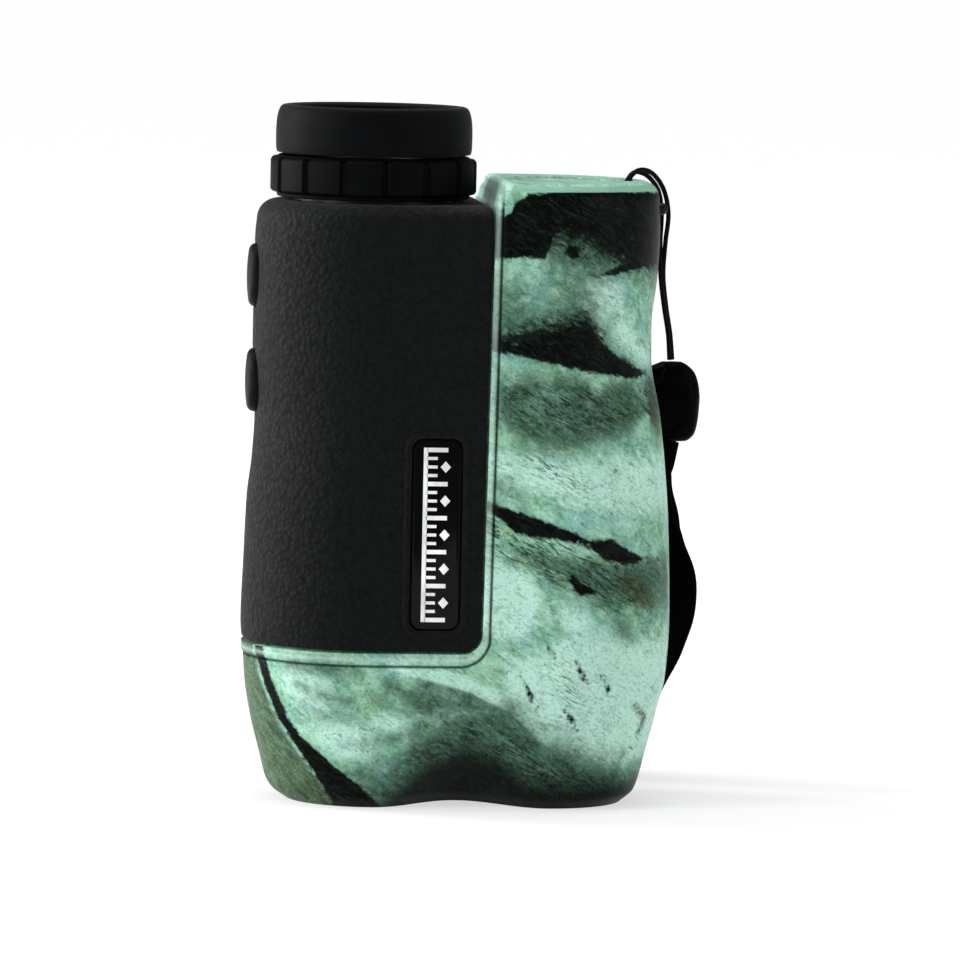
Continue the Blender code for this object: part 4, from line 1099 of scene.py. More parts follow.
def front_layers(u, z):
    top_edge = ((4.0, 97.6), (6.5, 100.2), (9.0, 101.9), (14.0, 102.6), (22.0, 102.7),
                (30.0, 102.0), (36.0, 101.2))
    flank = left_edge(u, z)
    ink = [
        # the top of the column: a solid block at the left, then mottled
        band(u, z, top_edge, ((4.0, 91.3), (12.3, 91.5), (12.9, 94.0), (14.0, 98.0),
                              (36.0, 99.0))),
        band(u, z, top_edge, ((10.0, 94.6), (14.5, 95.8), (19.0, 95.0), (22.0, 93.0),
                              (25.0, 91.4), (28.0, 90.4), (36.0, 89.4)), 1.0, 4.6) + 0.25,
        blob(u, z, (16.6, 92.7), (1.6, 1.2), -30),
        stroke(u, z, ((18.9, 88.6), (22.0, 88.9), (24.5, 89.7), (27.7, 90.6), (33.0, 92.4)),
               (0.1, 0.4, 0.8, 1.0, 1.4)),
        # wedge across the waist: its upper left fades, its lower edge is crisp
        band(u, z, ((3.6, 78.8), (9.8, 80.6), (15.0, 82.2), (19.3, 82.6), (21.6, 79.6)),
             ((3.6, 75.9), (8.5, 75.3), (11.9, 74.6), (16.5, 73.6), (21.6, 72.6)), 5.5, 1.0),
        band(u, z, ((16.0, 77.6), (19.6, 79.8), (21.4, 78.6), (24.7, 75.6), (27.1, 73.8),
                    (29.2, 72.8)),
             ((16.0, 73.6), (21.5, 72.5), (26.4, 71.5), (29.2, 71.7)), 1.6, 1.0),
        # crescent
        band(u, z, ((2.6, 52.0), (6.5, 50.6), (10.0, 49.6), (14.0, 48.2), (18.0, 46.6),
                    (20.6, 45.2), (22.0, 45.4), (24.0, 45.5), (26.6, 43.9), (29.6, 42.0),
                    (32.0, 41.6)),
             ((2.6, 50.6), (5.0, 49.0), (8.0, 46.4), (11.0, 45.6), (16.0, 45.2), (20.6, 43.8),
              (23.4, 41.8), (27.0, 40.8), (29.6, 41.2), (32.0, 41.0))),
        blob(u, z, (24.6, 56.6), (1.0, 0.45), -30) - 0.1,
        # blots under the crescent and over the right lobe
        stroke(u, z, ((17.0, 39.8), (19.0, 37.4), (21.4, 36.6)), (0.4, 1.2, 0.5)),
        stroke(u, z, ((13.6, 28.6), (14.6, 26.8), (15.6, 24.8)), (0.1, 0.6, 0.2)),
        stroke(u, z, ((9.6, 22.8), (11.0, 19.8), (12.6, 17.0)), (0.1, 0.55, 0.2)),
        stroke(u, z, ((18.6, 25.4), (19.8, 22.8), (21.0, 21.6)), (0.2, 0.65, 0.2)),
        stroke(u, z, ((23.0, 22.8), (24.2, 20.4)), (0.2, 0.55)),
        stroke(u, z, ((16.4, 18.4), (18.0, 15.6), (19.2, 13.6)), (0.1, 0.55, 0.2)),
        # the line down the left side, wide at its foot
        1.2 + 0.2 * np.maximum(12.0 - z, 0) - np.abs(flank + 0.8 + 0.16 * np.maximum(12.0 - z, 0))
        - 9.0 * (z > 28.0),
    ]
    smoke = [
        band(u, z, ((3.6, 99.0), (36.0, 99.0)), ((3.6, 96.4), (12.0, 97.0), (13.0, 91.4),
                                                 (20.0, 90.0), (26.0, 90.6), (36.0, 87.4)),
             1.0, 1.8) + 1.8,
        band(u, z, ((3.6, 88.0), (10.0, 86.0), (16.0, 89.6), (20.0, 88.0), (22.5, 80.0)),
             ((3.6, 76.0), (22.5, 72.0)), 4.0, 1.0) + 0.1,
        stroke(u, z, ((29.6, 88.0), (30.6, 82.0), (31.4, 78.0)), (1.8, 1.2, 0.6)) - 0.8,
        band(u, z, ((3.6, 75.0), (12.0, 74.0), (20.0, 73.2), (34.0, 72.4)),
             ((5.0, 67.0), (8.0, 64.6), (14.0, 62.6), (22.0, 62.2), (27.0, 63.6), (34.0, 65.5)),
             2.4, 1.0) - 1.2,
        blob(u, z, (24.0, 66.4), (4.6, 3.4), 25) + 1.8,
        stroke(u, z, ((10.6, 70.6), (7.4, 68.4), (7.6, 65.6), (11.0, 63.4), (16.0, 62.4),
                      (20.0, 63.6)), (0.7, 1.0, 1.0, 1.1, 1.2, 0.9)) + 2.2,
        stroke(u, z, ((15.0, 71.0), (18.6, 69.4), (18.2, 66.6), (15.0, 66.0)),
               (0.6, 0.8, 0.8, 0.5)) + 2.0,
        blob(u, z, (17.6, 93.8), (5.4, 2.6), 0) + 1.6,
        blob(u, z, (31.0, 67.0), (3.4, 5.2), 20) + 1.0,
        band(u, z, ((9.0, 44.0), (16.0, 42.8), (22.0, 42.0), (34.0, 42.0)),
             ((9.0, 42.0), (16.0, 37.6), (22.0, 34.6), (26.0, 33.2), (34.0, 32.0)), 1.0, 1.8),
        blob(u, z, (6.0, 53.6), (3.4, 1.3), -24) - 0.5,
        blob(u, z, (26.6, 30.6), (4.6, 2.6), -35) - 1.2,
        # everything below the pale ridge, darker towards the bottom: partly the pattern's smoke
        # and partly painted shade on the feet of the lobes
        band(u, z, ((-12.0, 8.0), (-6.0, 12.4), (0.0, 16.4), (5.0, 17.0), (8.1, 15.8),
                    (12.1, 12.4), (16.0, 9.2), (19.7, 6.9), (24.0, 5.4), (32.0, 7.6)),
             ((-12.0, -9.0), (32.0, -9.0)), 1.5, 1.0) + 0.6,
        band(u, z, ((-6.0, 8.0), (2.0, 12.0), (8.0, 13.0), (14.0, 8.0), (24.0, 3.6)),
             ((-6.0, -9.0), (24.0, -9.0)), 2.0, 1.0) + 3.0,
        band(u, z, ((-28.0, 1.4), (-20.0, 5.8), (-14.0, 7.2), (-8.0, 7.6), (-4.0, 9.0)),
             ((-28.0, -9.0), (-4.0, -9.0)), 2.4, 1.0) + 0.5,
        stroke(u, z, ((-29.0, 24.0), (-24.0, 23.4), (-18.0, 23.2)), (0.8, 1.2, 0.6)) + 0.6,
        stroke(u, z, ((-27.0, 20.6), (-22.0, 18.6), (-18.4, 18.0)), (0.3, 0.9, 0.4)) + 0.6,
        stroke(u, z, ((-16.0, 19.4), (-11.0, 17.2), (-7.0, 15.4)), (0.4, 1.0, 0.6)) - 0.6,
        stroke(u, z, ((-13.0, 21.6), (-9.0, 19.0), (-2.0, 18.2), (6.0, 17.2)),
               (0.6, 1.7, 1.6, 1.1)) + 0.2,
        stroke(u, z, ((-26.0, 17.4), (-21.5, 15.4), (-17.0, 14.6)), (0.3, 0.9, 0.3)),
        stroke(u, z, ((-20.0, 10.6), (-14.0, 11.6), (-7.0, 12.4)), (0.3, 0.9, 0.6)),
    ]
    hair = [
        band(u, z, ((2.6, 49.0), (9.0, 46.0), (16.0, 44.5), (22.0, 42.0)),
             ((2.6, 45.0), (8.0, 42.2), (15.0, 38.6), (22.0, 36.4)), 1.0, 1.0) + 1.4,
        blob(u, z, (24.5, 38.4), (6.6, 4.6), -25) + 0.6,
        band(u, z, ((5.0, 72.0), (34.0, 72.0)), ((5.0, 64.5), (14.0, 62.0), (34.0, 63.5))) - 1.0,
        band(u, z, ((10.0, 97.0), (34.0, 97.0)), ((10.0, 93.0), (20.0, 89.0), (34.0, 87.0))) - 1.0,
        band(u, z, ((-6.0, 10.0), (8.0, 14.0), (26.0, 4.0)),
             ((-6.0, -9.0), (26.0, -9.0))) - 1.6,
        blob(u, z, (17.0, 21.0), (11.0, 4.0), -46) - 2.4,
        blob(u, z, (14.0, 56.5), (10.0, 3.6), -30) - 1.6,
    ]
    bright = [
        stroke(u, z, ((-11.0, 24.0), (-4.0, 22.4), (2.0, 20.6), (7.0, 17.9), (12.6, 13.6),
                      (17.0, 10.2), (21.6, 7.6)), (0.7, 1.1, 1.2, 1.5, 1.5, 1.4, 1.1)) + 0.4,
        band(u, z, ((8.0, 24.6), (20.0, 30.0), (34.0, 27.0)),
             ((8.0, 18.8), (14.0, 13.6), (20.0, 9.0), (25.0, 6.6), (34.0, 10.0)), 2.0, 1.0) + 0.5,
        blob(u, z, (22.0, 90.6), (2.4, 1.4), 18) + 0.2,
        blob(u, z, (21.8, 85.0), (5.2, 4.6), 20) - 0.2,
        stroke(u, z, ((24.4, 80.4), (27.4, 76.6), (29.8, 74.2)), (2.0, 1.6, 1.2)) + 0.2,
        stroke(u, z, ((33.5, 90.0), (31.8, 82.0), (31.4, 76.0)), (0.6, 1.1, 0.7)),
        band(u, z, ((3.6, 61.8), (10.0, 61.0), (20.0, 60.4), (34.0, 61.0)),
             ((3.6, 54.0), (12.0, 51.0), (20.0, 48.0), (34.0, 46.0)), 2.0, 2.0) - 0.8,
        blob(u, z, (7.0, 35.0), (5.4, 6.4), 10) + 0.2,
        blob(u, z, (18.0, 32.0), (5.4, 2.6), -20) - 0.6,
        blob(u, z, (-25.6, 20.4), (6.0, 3.4), -40) + 0.3,
        blob(u, z, (-19.0, 12.0), (6.4, 4.0), -20) - 0.2,
        blob(u, z, (-12.0, 14.6), (6.0, 2.0), -8) - 0.4,
        blob(u, z, (33.6, 24.0), (2.6, 8.0), 5) - 0.6,
    ]
    olive = [
        np.minimum(flank - 0.6, 28.6 - z),
        stroke(u, z, ((28.6, 17.4), (30.4, 15.0), (29.4, 12.6)), (0.5, 0.8, 0.5)),
        blob(u, z, (29.0, 36.4), (5.6, 2.4), -30) - 0.2,
        blob(u, z, (26.6, 73.9), (2.6, 0.7), -30) - 0.2,
        blob(u, z, (31.0, 66.0), (3.0, 4.0), 20) - 0.6,
    ]
    # crisp diagonal that bounds the pale ridge of the right lobe from below
    under = [np.minimum(band(u, z, ((-14.0, 21.0), (-7.6, 22.4), (0.4, 20.2), (8.1, 16.6),
                                    (12.1, 12.7), (16.0, 9.4), (19.7, 7.1), (23.4, 5.2),
                                    (27.0, 3.4)),
                             ((-14.0, -9.0), (27.0, -9.0))), (u + 8.0) / 4.0)]
    # the valley and the feet of both lobes darken downwards
    shadow = [band(u, z, ((-16.0, -2.0), (-10.0, 3.4), (-5.0, 7.4), (1.4, 10.4), (6.5, 8.6),
                          (11.0, 5.4), (16.0, 4.6), (24.0, 4.8), (36.0, 3.0)),
                   ((-16.0, -9.0), (36.0, -9.0)))]
    return {"ink": ink, "smoke": smoke, "hair": hair, "bright": bright, "olive": olive,
            "under": under, "shadow": shadow}


def back_layers(u, z):
    """The far flank, which carries on from the front's edges with its own bands between."""
    more = {
        "ink": [
            band(u, z, ((-26, 40.0), (-12, 47.0), (2, 50.0), (16, 47.0)),
                 ((-26, 37.0), (-12, 43.0), (2, 47.5), (16, 44.5))),
            band(u, z, ((5.0, 66.0), (14, 68.0), (27, 62.0)),
                 ((5.0, 64.8), (14, 64.4), (27, 59.0))),
            stroke(u, z, ((-24, 19.0), (-10, 15.4), (4, 17.0), (18, 25.0)),
                   (0.4, 1.2, 1.0, 0.3)),
        ],
        "smoke": [blob(u, z, (-8, 36.0), (16, 6), 8), blob(u, z, (14, 60.0), (12, 5), -10),
                  blob(u, z, (8, 20.0), (14, 5), 10), blob(u, z, (-1.5, 3.8), (14.0, 7.6), 0),
                  blob(u, z, (12, 90.0), (9, 6), 20) - 1.0],
        "hair": [blob(u, z, (0, 40.0), (26, 9), 5), blob(u, z, (14, 62.0), (14, 8), -10),
                 blob(u, z, (0, 14.0), (26, 8), 5), blob(u, z, (14, 92.0), (12, 7), 10)],
        "bright": [blob(u, z, (10, 76.0), (9, 5), -20) - 1,
                   blob(u, z, (-14, 30.0), (10, 5), 20) - 1,
                   blob(u, z, (16, 34.0), (7, 7), 0) - 1],
        "olive": [blob(u, z, (20, 40.0), (7, 4), 30) - 1, blob(u, z, (-20, 8.0), (8, 5), 0)],
        "under": [],
        "shadow": [blob(u, z, (-1.5, -1.0), (12.0, 9.0), 0)],
    }
    edges = front_layers(u, z)
    fade = 3.0 * smoothstep((20 - np.maximum(u - 8, -26 - u)) / 14)
    return {name: layers + [layer - fade for layer in edges[name]]
            for name, layers in more.items()}


def paint_camo(obj):
    """Stores the pattern's layers and the unrolled place on every point of a shell."""
    count = len(obj.data.vertices)
    co = np.empty(count * 3, np.float32)
    obj.data.vertices.foreach_get("co", co)
    x, y, z = (co.reshape(-1, 3).astype(float) / MM).T
    u = wrap(x, y, z)
    # On the top faces the dark layers are cleared and the bright tone is laid on: a painted
    # highlight of the light from above.
    top = smoothstep((z - (COLUMN_Z - 1.2)) / 0.8) + smoothstep((z - DECK_Z) / 0.5) * (
        smoothstep((STEP_AT_X + STEP_WIDE + 0.6 - x) / 0.6))
    layers = (front_layers if y.mean() < 0 else back_layers)(u, z)
    values = {name: np.clip(np.max(np.stack(layer), axis=0), -OFF, OFF)
              for name, layer in layers.items()}
    for name in ("ink", "smoke", "hair", "olive", "under"):
        values[name] -= OFF * top
    values["bright"] += OFF * top
    away = panel_distance(x, z)
    outer, middle = bead_lines(x, z)
    # The groove carries a line of painted shade, and the middle of the bead a painted highlight.
    values["seam"] = np.exp(-((away - outer) / SEAM_SHADE) ** 2)
    values["ridge"] = np.exp(-((away - middle) / RIDGE_SHINE) ** 2)
    values["wrap"] = u
    for name, value in values.items():
        store(obj, name, value)


def camo_material():
    """Printed bark-pattern film under a satin lacquer."""
    n = Nodes("camo_film")
    axes = [n.node("SeparateXYZ", axis, {0: n.coords()}) for axis in "XYZ"]
    flat = n.step(axes[2], COLUMN_Z - 1.4, COLUMN_Z - 0.3)

    def on_top(round_it, across):
        """The unrolled place on the sides, and the plan view's own place on the top."""
        return n.add(n.times(round_it, n.rest(flat)), n.times(across, flat))

    far = n.times(n.step(axes[1], -1.0, 1.0), 60.0)
    place = n.node("CombineXYZ", 0, {"X": on_top(n.attribute("wrap"), axes[0]), "Y": far,
                                     "Z": on_top(axes[2], axes[1])})

    def mapped(scale, turn, offset=0.0):
        turned_place = n.node("Mapping", 0, {
            "Vector": place, "Rotation": (0.0, math.radians(turn), 0.0),
            "Location": (offset, 0.0, offset * 0.37)})
        return n.node("Mapping", 0, {"Vector": turned_place, "Scale": (scale[0], 0.5, scale[1])})

    wobble = n.noise(mapped((0.16, 0.2), 20), 1.0, 5.0, 0.62)
    ragged = n.noise(mapped((0.62, 1.1), -32), 1.0, 7.0, 0.7, 0.4)
    bark = n.noise(mapped((0.34, 1.1), -32, 7.0), 1.0, 7.0, 0.74, 0.8)
    strokes = n.noise(mapped((0.3, 1.9), -30, 31.0), 1.0, 5.0, 0.68, 1.6)
    curls = n.noise(mapped((0.34, 0.62), -40, 13.0), 1.0, 4.0, 0.62, 1.4)
    blotch = n.noise(mapped((0.26, 0.4), -36, 23.0), 1.0, 5.0, 0.66, 0.5)
    grit = n.noise(mapped((1.5, 2.3), -30, 3.0), 1.0, 4.0, 0.75)
    hue = n.noise(mapped((0.13, 0.17), 10, 17.0), 1.0, 4.0, 0.6)

    def edge(name, ragged_by, bark_by, low, high, wobble_by=0.0):
        """A layer's mask, its edge broken up by the noises."""
        value = n.attribute(name)
        for noise, amount in ((ragged, ragged_by), (bark, bark_by), (wobble, wobble_by)):
            if amount:
                value = n.add(value, n.times(n.math("SUBTRACT", noise, 0.5), amount))
        return n.step(value, low, high)

    light = n.mix(n.step(blotch, 0.36, 0.62), srgb(104, 156, 128), srgb(154, 202, 176))
    light = n.mix(n.step(hue, 0.5, 0.66), light, srgb(134, 188, 192), 0.5)
    light = n.mix(n.step(hue, 0.46, 0.34), light, srgb(142, 182, 134), 0.45)
    light = n.mix(edge("bright", 4.0, 4.0, -0.8, 1.6), light, srgb(190, 232, 218), 0.8)
    light = n.mix(n.step(bark, 0.54, 0.7), light, srgb(204, 236, 220), 0.75)
    light = n.mix(n.step(bark, 0.46, 0.3), light, srgb(70, 108, 88), 0.7)

    below = n.mix(n.step(blotch, 0.36, 0.6), srgb(52, 78, 64), srgb(122, 160, 142))
    light = n.mix(edge("under", 0.9, 1.1, -0.25, 0.35), light, below, 0.85)

    green = n.mix(n.step(bark, 0.38, 0.62), srgb(18, 30, 23), srgb(70, 106, 84))
    green = n.mix(n.step(ragged, 0.56, 0.7), green, srgb(112, 150, 130), 0.6)
    # The smoke tone is the pattern's own, and near the bottom it is partly painted shade.
    colour = n.mix(edge("smoke", 5.0, 6.0, -1.6, 2.4, 3.0), light, green, 0.9)

    olive = n.mix(n.step(bark, 0.35, 0.65), srgb(34, 46, 31), srgb(84, 102, 72))
    colour = n.mix(edge("olive", 2.6, 3.0, -0.6, 0.8), colour, olive, 0.9)

    hair = n.times(n.step(strokes, 0.5, 0.57), edge("hair", 3.0, 2.0, -1.6, 2.0))
    colour = n.mix(hair, colour, srgb(20, 29, 25), 0.85)
    line = n.step(n.math("ABSOLUTE", n.math("SUBTRACT", curls, 0.5)), 0.02, 0.004)
    line = n.times(line, n.step(wobble, 0.4, 0.6))
    colour = n.mix(line, colour, srgb(44, 66, 54), 0.6)

    char = n.mix(n.step(bark, 0.44, 0.72), srgb(2, 4, 3), srgb(26, 38, 30))
    holes = n.times(n.step(ragged, 0.68, 0.78), 0.6)
    ink = n.times(edge("ink", 1.5, 1.6, -0.25, 0.4, 0.6), n.rest(holes))
    colour = n.mix(ink, colour, char)
    dark = n.times(edge("shadow", 3.0, 4.0, -3.2, 3.0), 0.94)
    colour = n.mix(dark, colour, srgb(3, 5, 4))

    # Painted highlight along the middle of the bead, then painted shade in the groove beside the
    # panel.
    colour = n.mix(n.attribute("ridge"), colour, srgb(202, 226, 216), 0.34)
    colour = n.mix(n.attribute("seam"), colour, srgb(24, 38, 32), 0.8)

    colour = n.mix(n.step(grit, 0.5, 0.3), colour, srgb(140, 158, 148), 0.75, "MULTIPLY")
    grain = n.noise(n.coords(), 3.6, 3.0, 0.7)
    pale = n.times(n.step(grit, 0.56, 0.74), 0.3)
    for mask in (ink, dark):
        pale = n.times(pale, n.rest(n.times(mask, 0.9)))
    colour = n.mix(pale, colour, srgb(196, 228, 218))

    rough = n.add(0.32, n.times(grain, 0.16))
    height = n.add(n.times(grain, 0.5), n.times(bark, 0.5))
    return n.finish(colour=colour, roughness=rough, specular=0.04,
                    normal=n.bump(height, 0.03, 0.5))


# ---------------------------------------------------------------- grip panel and badge

PANEL_EDGE_R = 0.75
BADGE_R = 2.0
# Height, distance from the badge's pocket, and half width
LIP = (0.2, 0.62, 0.34)
DIP = (0.12, 1.35, 0.3)


def badge_distance(x, z):
    """Signed distance outside the badge's pocket."""
    return corner_distance(np.abs(x - BADGE_X) - BADGE_SIZE[0] / 2,
                           np.abs(z - BADGE_Z) - BADGE_SIZE[1] / 2, BADGE_R)


def merge_close(values, least):
    out = []
    for value in sorted(values):
        if not out or value - out[-1] >= least:
            out.append(float(value))
    return out


def make_panel(mat):
    """The rubber panel: an outer skin with rounded edges, an inner skin and walls between."""
    right = PANEL_RIGHT_X
    xs = merge_close(list(np.arange(FLATS[0], 0.2, 0.6)) + list(np.arange(-11.4, -9.2, 0.18))
                     + list(np.arange(-1.5, 0.8, 0.18)) + list(np.arange(0.8, 3.4, 0.3)), 0.12)
    near_edge = (0.62, 0.44, 0.3, 0.19, 0.1, 0.04, 0.0)
    xs = [x for x in xs if x < right - 0.7] + [right - t for t in near_edge]
    columns = [("left", math.pi / 2 * k / 40) for k in range(41)] + [("flat", x) for x in xs]
    kinds = np.array([kind for kind, _ in columns])
    values = np.array([value for _, value in columns])
    corner = right - PANEL_CORNER_R
    flat_x = np.where(kinds == "flat", values, -20.0)
    low = PANEL_BOTTOM_Z + PANEL_CORNER_R - np.sqrt(
        np.maximum(PANEL_CORNER_R ** 2 - np.maximum(flat_x - corner, 0) ** 2, 0))
    near = (0, 0.04, 0.1, 0.19, 0.3, 0.44, 0.62, 0.85, 1.15, 1.5, 1.7, 1.9, 2.1, 2.3, 2.5, 2.7,
            2.9, 3.2, 3.6, 4.0)
    low_end = PANEL_BOTTOM_Z + near[-1]
    badge_top = np.arange(61.4, 63.6, 0.18)
    far = merge_close(list(np.linspace(0, 1, 92))
                      + list((badge_top - low_end) / (BODY_TOP_Z - low_end)), 0.0025)
    heights = [low + d for d in near] + [
        (low + near[-1]) + (BODY_TOP_Z - low - near[-1]) * v for v in far[1:]]

    def outline(z, inset):
        depth, left, _ = section(z, inset)
        arc = kinds == "left"
        lean = PANEL_LEAN * (z - PANEL_BOTTOM_Z) * smoothstep((values + 1.5) / 2.5)
        return (np.where(arc, left - depth * np.cos(values), values + lean),
                np.where(arc, depth * np.sin(values), depth))

    rows = walls_and_edge(outline, heights, np.full(len(columns), DECK_Z), 10)
    lid = [rows[-1] * (1.0, share, 1.0) for share in (0.85, 0.65, 0.4, 0.2, 0.0)]
    grid = np.stack(rows + lid)
    normal = np.cross(np.gradient(grid, axis=1), np.gradient(grid, axis=0))
    length = np.linalg.norm(normal, axis=2, keepdims=True)
    normal = np.where(length > 1e-9, normal / np.maximum(length, 1e-9), (0.0, 0.0, 1.0))
    outward = np.sign((normal * (grid - np.array((0.0, 0.0, 60.0)))).sum(axis=2, keepdims=True))
    normal *= outward
    normal[:, 0, 1] = 0.0
    normal[-1, :, :] = (0.0, 0.0, 1.0)
    inside = np.maximum(-panel_distance(grid[..., 0], grid[..., 2]), 0.0)
    sink = PANEL_EDGE_R - np.sqrt(np.maximum(
        PANEL_EDGE_R ** 2 - np.maximum(PANEL_EDGE_R - inside, 0) ** 2, 0))
    away = badge_distance(grid[..., 0], grid[..., 2])
    lip = LIP[0] * np.exp(-((away - LIP[1]) / LIP[2]) ** 4)
    dip = -DIP[0] * np.exp(-((away - DIP[1]) / DIP[2]) ** 2)
    on_front = np.where(kinds == "flat", 1.0, 0.0)[None, :]
    bm = bmesh.new()
    for side in (-1, 1):
        shape = lip + dip if side < 0 else 0.0
        outer = grid + normal * ((shape * on_front) - sink)[..., None]
        inner = grid - normal * PANEL_T
        skins = []
        for skin in (outer, inner):
            skin = skin.copy()
            skin[..., 1] = np.maximum(skin[..., 1], 0.0) * side
            skin[:, 0, 1] = 0.0
            skin[-1, :, 1] = 0.0
            verts = [[bm.verts.new(p) for p in row] for row in skin]
            grid_faces(bm, verts)
            skins.append(verts)
        first, second = skins
        grid_faces(bm, [first[0], second[0]])
        grid_faces(bm, [[row[-1] for row in first], [row[-1] for row in second]])
    bmesh.ops.remove_doubles(bm, verts=bm.verts[:], dist=1e-5)
    panel = from_bmesh("grip_leatherette", bm)
    holes = bmesh.new()
    round_bar(holes, "z", (VIEW_X, 0, DECK_Z - 5), 120, HOLE_R, 96)
    long, wide = BUTTON_LONG + 2 * GAP, BUTTON_WIDE + 2 * GAP
    for z in BUTTON_Z.values():
        pill(holes, ((long + 0.9, wide + 0.9, -45), (long + 0.9, wide + 0.9, -34.15),
                     (long, wide, -33.6), (long, wide, -28)), z)
    prism(holes, rounded_outline(*BADGE_SIZE, BADGE_R, 10),
          lambda u, v, end: (BADGE_X + u, (-30, BADGE_FLOOR_Y)[end], BADGE_Z + v))
    cut(panel, "DIFFERENCE", from_bmesh("panel_holes", holes))
    one_material(panel, mat)
    return piece(panel, "casing", "grip_panel")


def make_badge(mats):
    """A gloss plate with a printed range scale, and no lettering."""
    width, height = BADGE_SIZE[0] - 2 * GAP, BADGE_SIZE[1] - 2 * GAP
    back, face = BADGE_FLOOR_Y - GAP, BADGE_FLOOR_Y - GAP - 0.35
    bm = bmesh.new()
    rings = []
    for inset, y in ((0.0, back), (0.0, face + 0.12), (0.04, face + 0.05), (0.12, face)):
        rings.append([(BADGE_X + u, y, BADGE_Z + v) for u, v in
                      rounded_outline(width - 2 * inset, height - 2 * inset, 1.7 - inset, 10)])
    stack(bm, rings)
    plate = piece(from_bmesh("badge_gloss_plate", bm, mats["badge"]), "casing", "badge_plate")

    bm = bmesh.new()
    print_y = face - 0.03

    def mark(outline):
        prism(bm, outline, lambda u, v, end: (BADGE_X + u, (face, print_y)[end], BADGE_Z + v))

    def bar(u, v, wide, tall):
        mark([(u - wide / 2, v - tall / 2), (u + wide / 2, v - tall / 2),
              (u + wide / 2, v + tall / 2), (u - wide / 2, v + tall / 2)])

    pitch, thick = 1.4, 0.72
    for k in range(-10, 11):
        wide, tall = (3.4, thick) if k % 4 == 2 else (1.7, 0.5)
        bar(-1.7 + wide / 2, pitch * k, wide, tall)
    bar(-1.95, 0.0, 0.7, 20 * pitch + thick)
    for k in (-8, -4, 0, 4, 8):
        v = pitch * k
        mark([(1.35, v - 0.95), (2.2, v), (1.35, v + 0.95), (0.5, v)])
    scale = from_bmesh("badge_printed_scale", bm, mats["print"])
    piece(scale, "casing")
    return plate


# ---------------------------------------------------------------- eyepiece

GROOVE_AT = -87.5        # one groove of the dioptre ring, in degrees round its axis
RING_PADS = 15


def ring_radius(r, z, angle):
    """Fifteen raised pads with rounded shoulders between narrow grooves."""
    if r < 15.9 or z < 101.0 or z > 106.75:
        return r
    pitch = 360 / RING_PADS
    away = abs((math.degrees(angle) - GROOVE_AT + pitch / 2) % pitch - pitch / 2)
    share = min(max((away - 0.9) / 1.5, 0.0), 1.0)
    return r - 0.62 * (1 - share * share * (3 - 2 * share))


def lens_profile(radius, low, high, shares):
    """Corners of a lens: low and high are its rim's Z, its face's bulge and the rounding."""
    z, bulge, rounding = low
    corners = [(radius * s, z - bulge * (1 - s * s), 0) for s in (0, *shares)]
    corners.append((radius, z, rounding))
    z, bulge, rounding = high
    corners.append((radius, z, rounding))
    return corners + [(radius * s, z + bulge * (1 - s * s), 0) for s in (*reversed(shares), 0)]


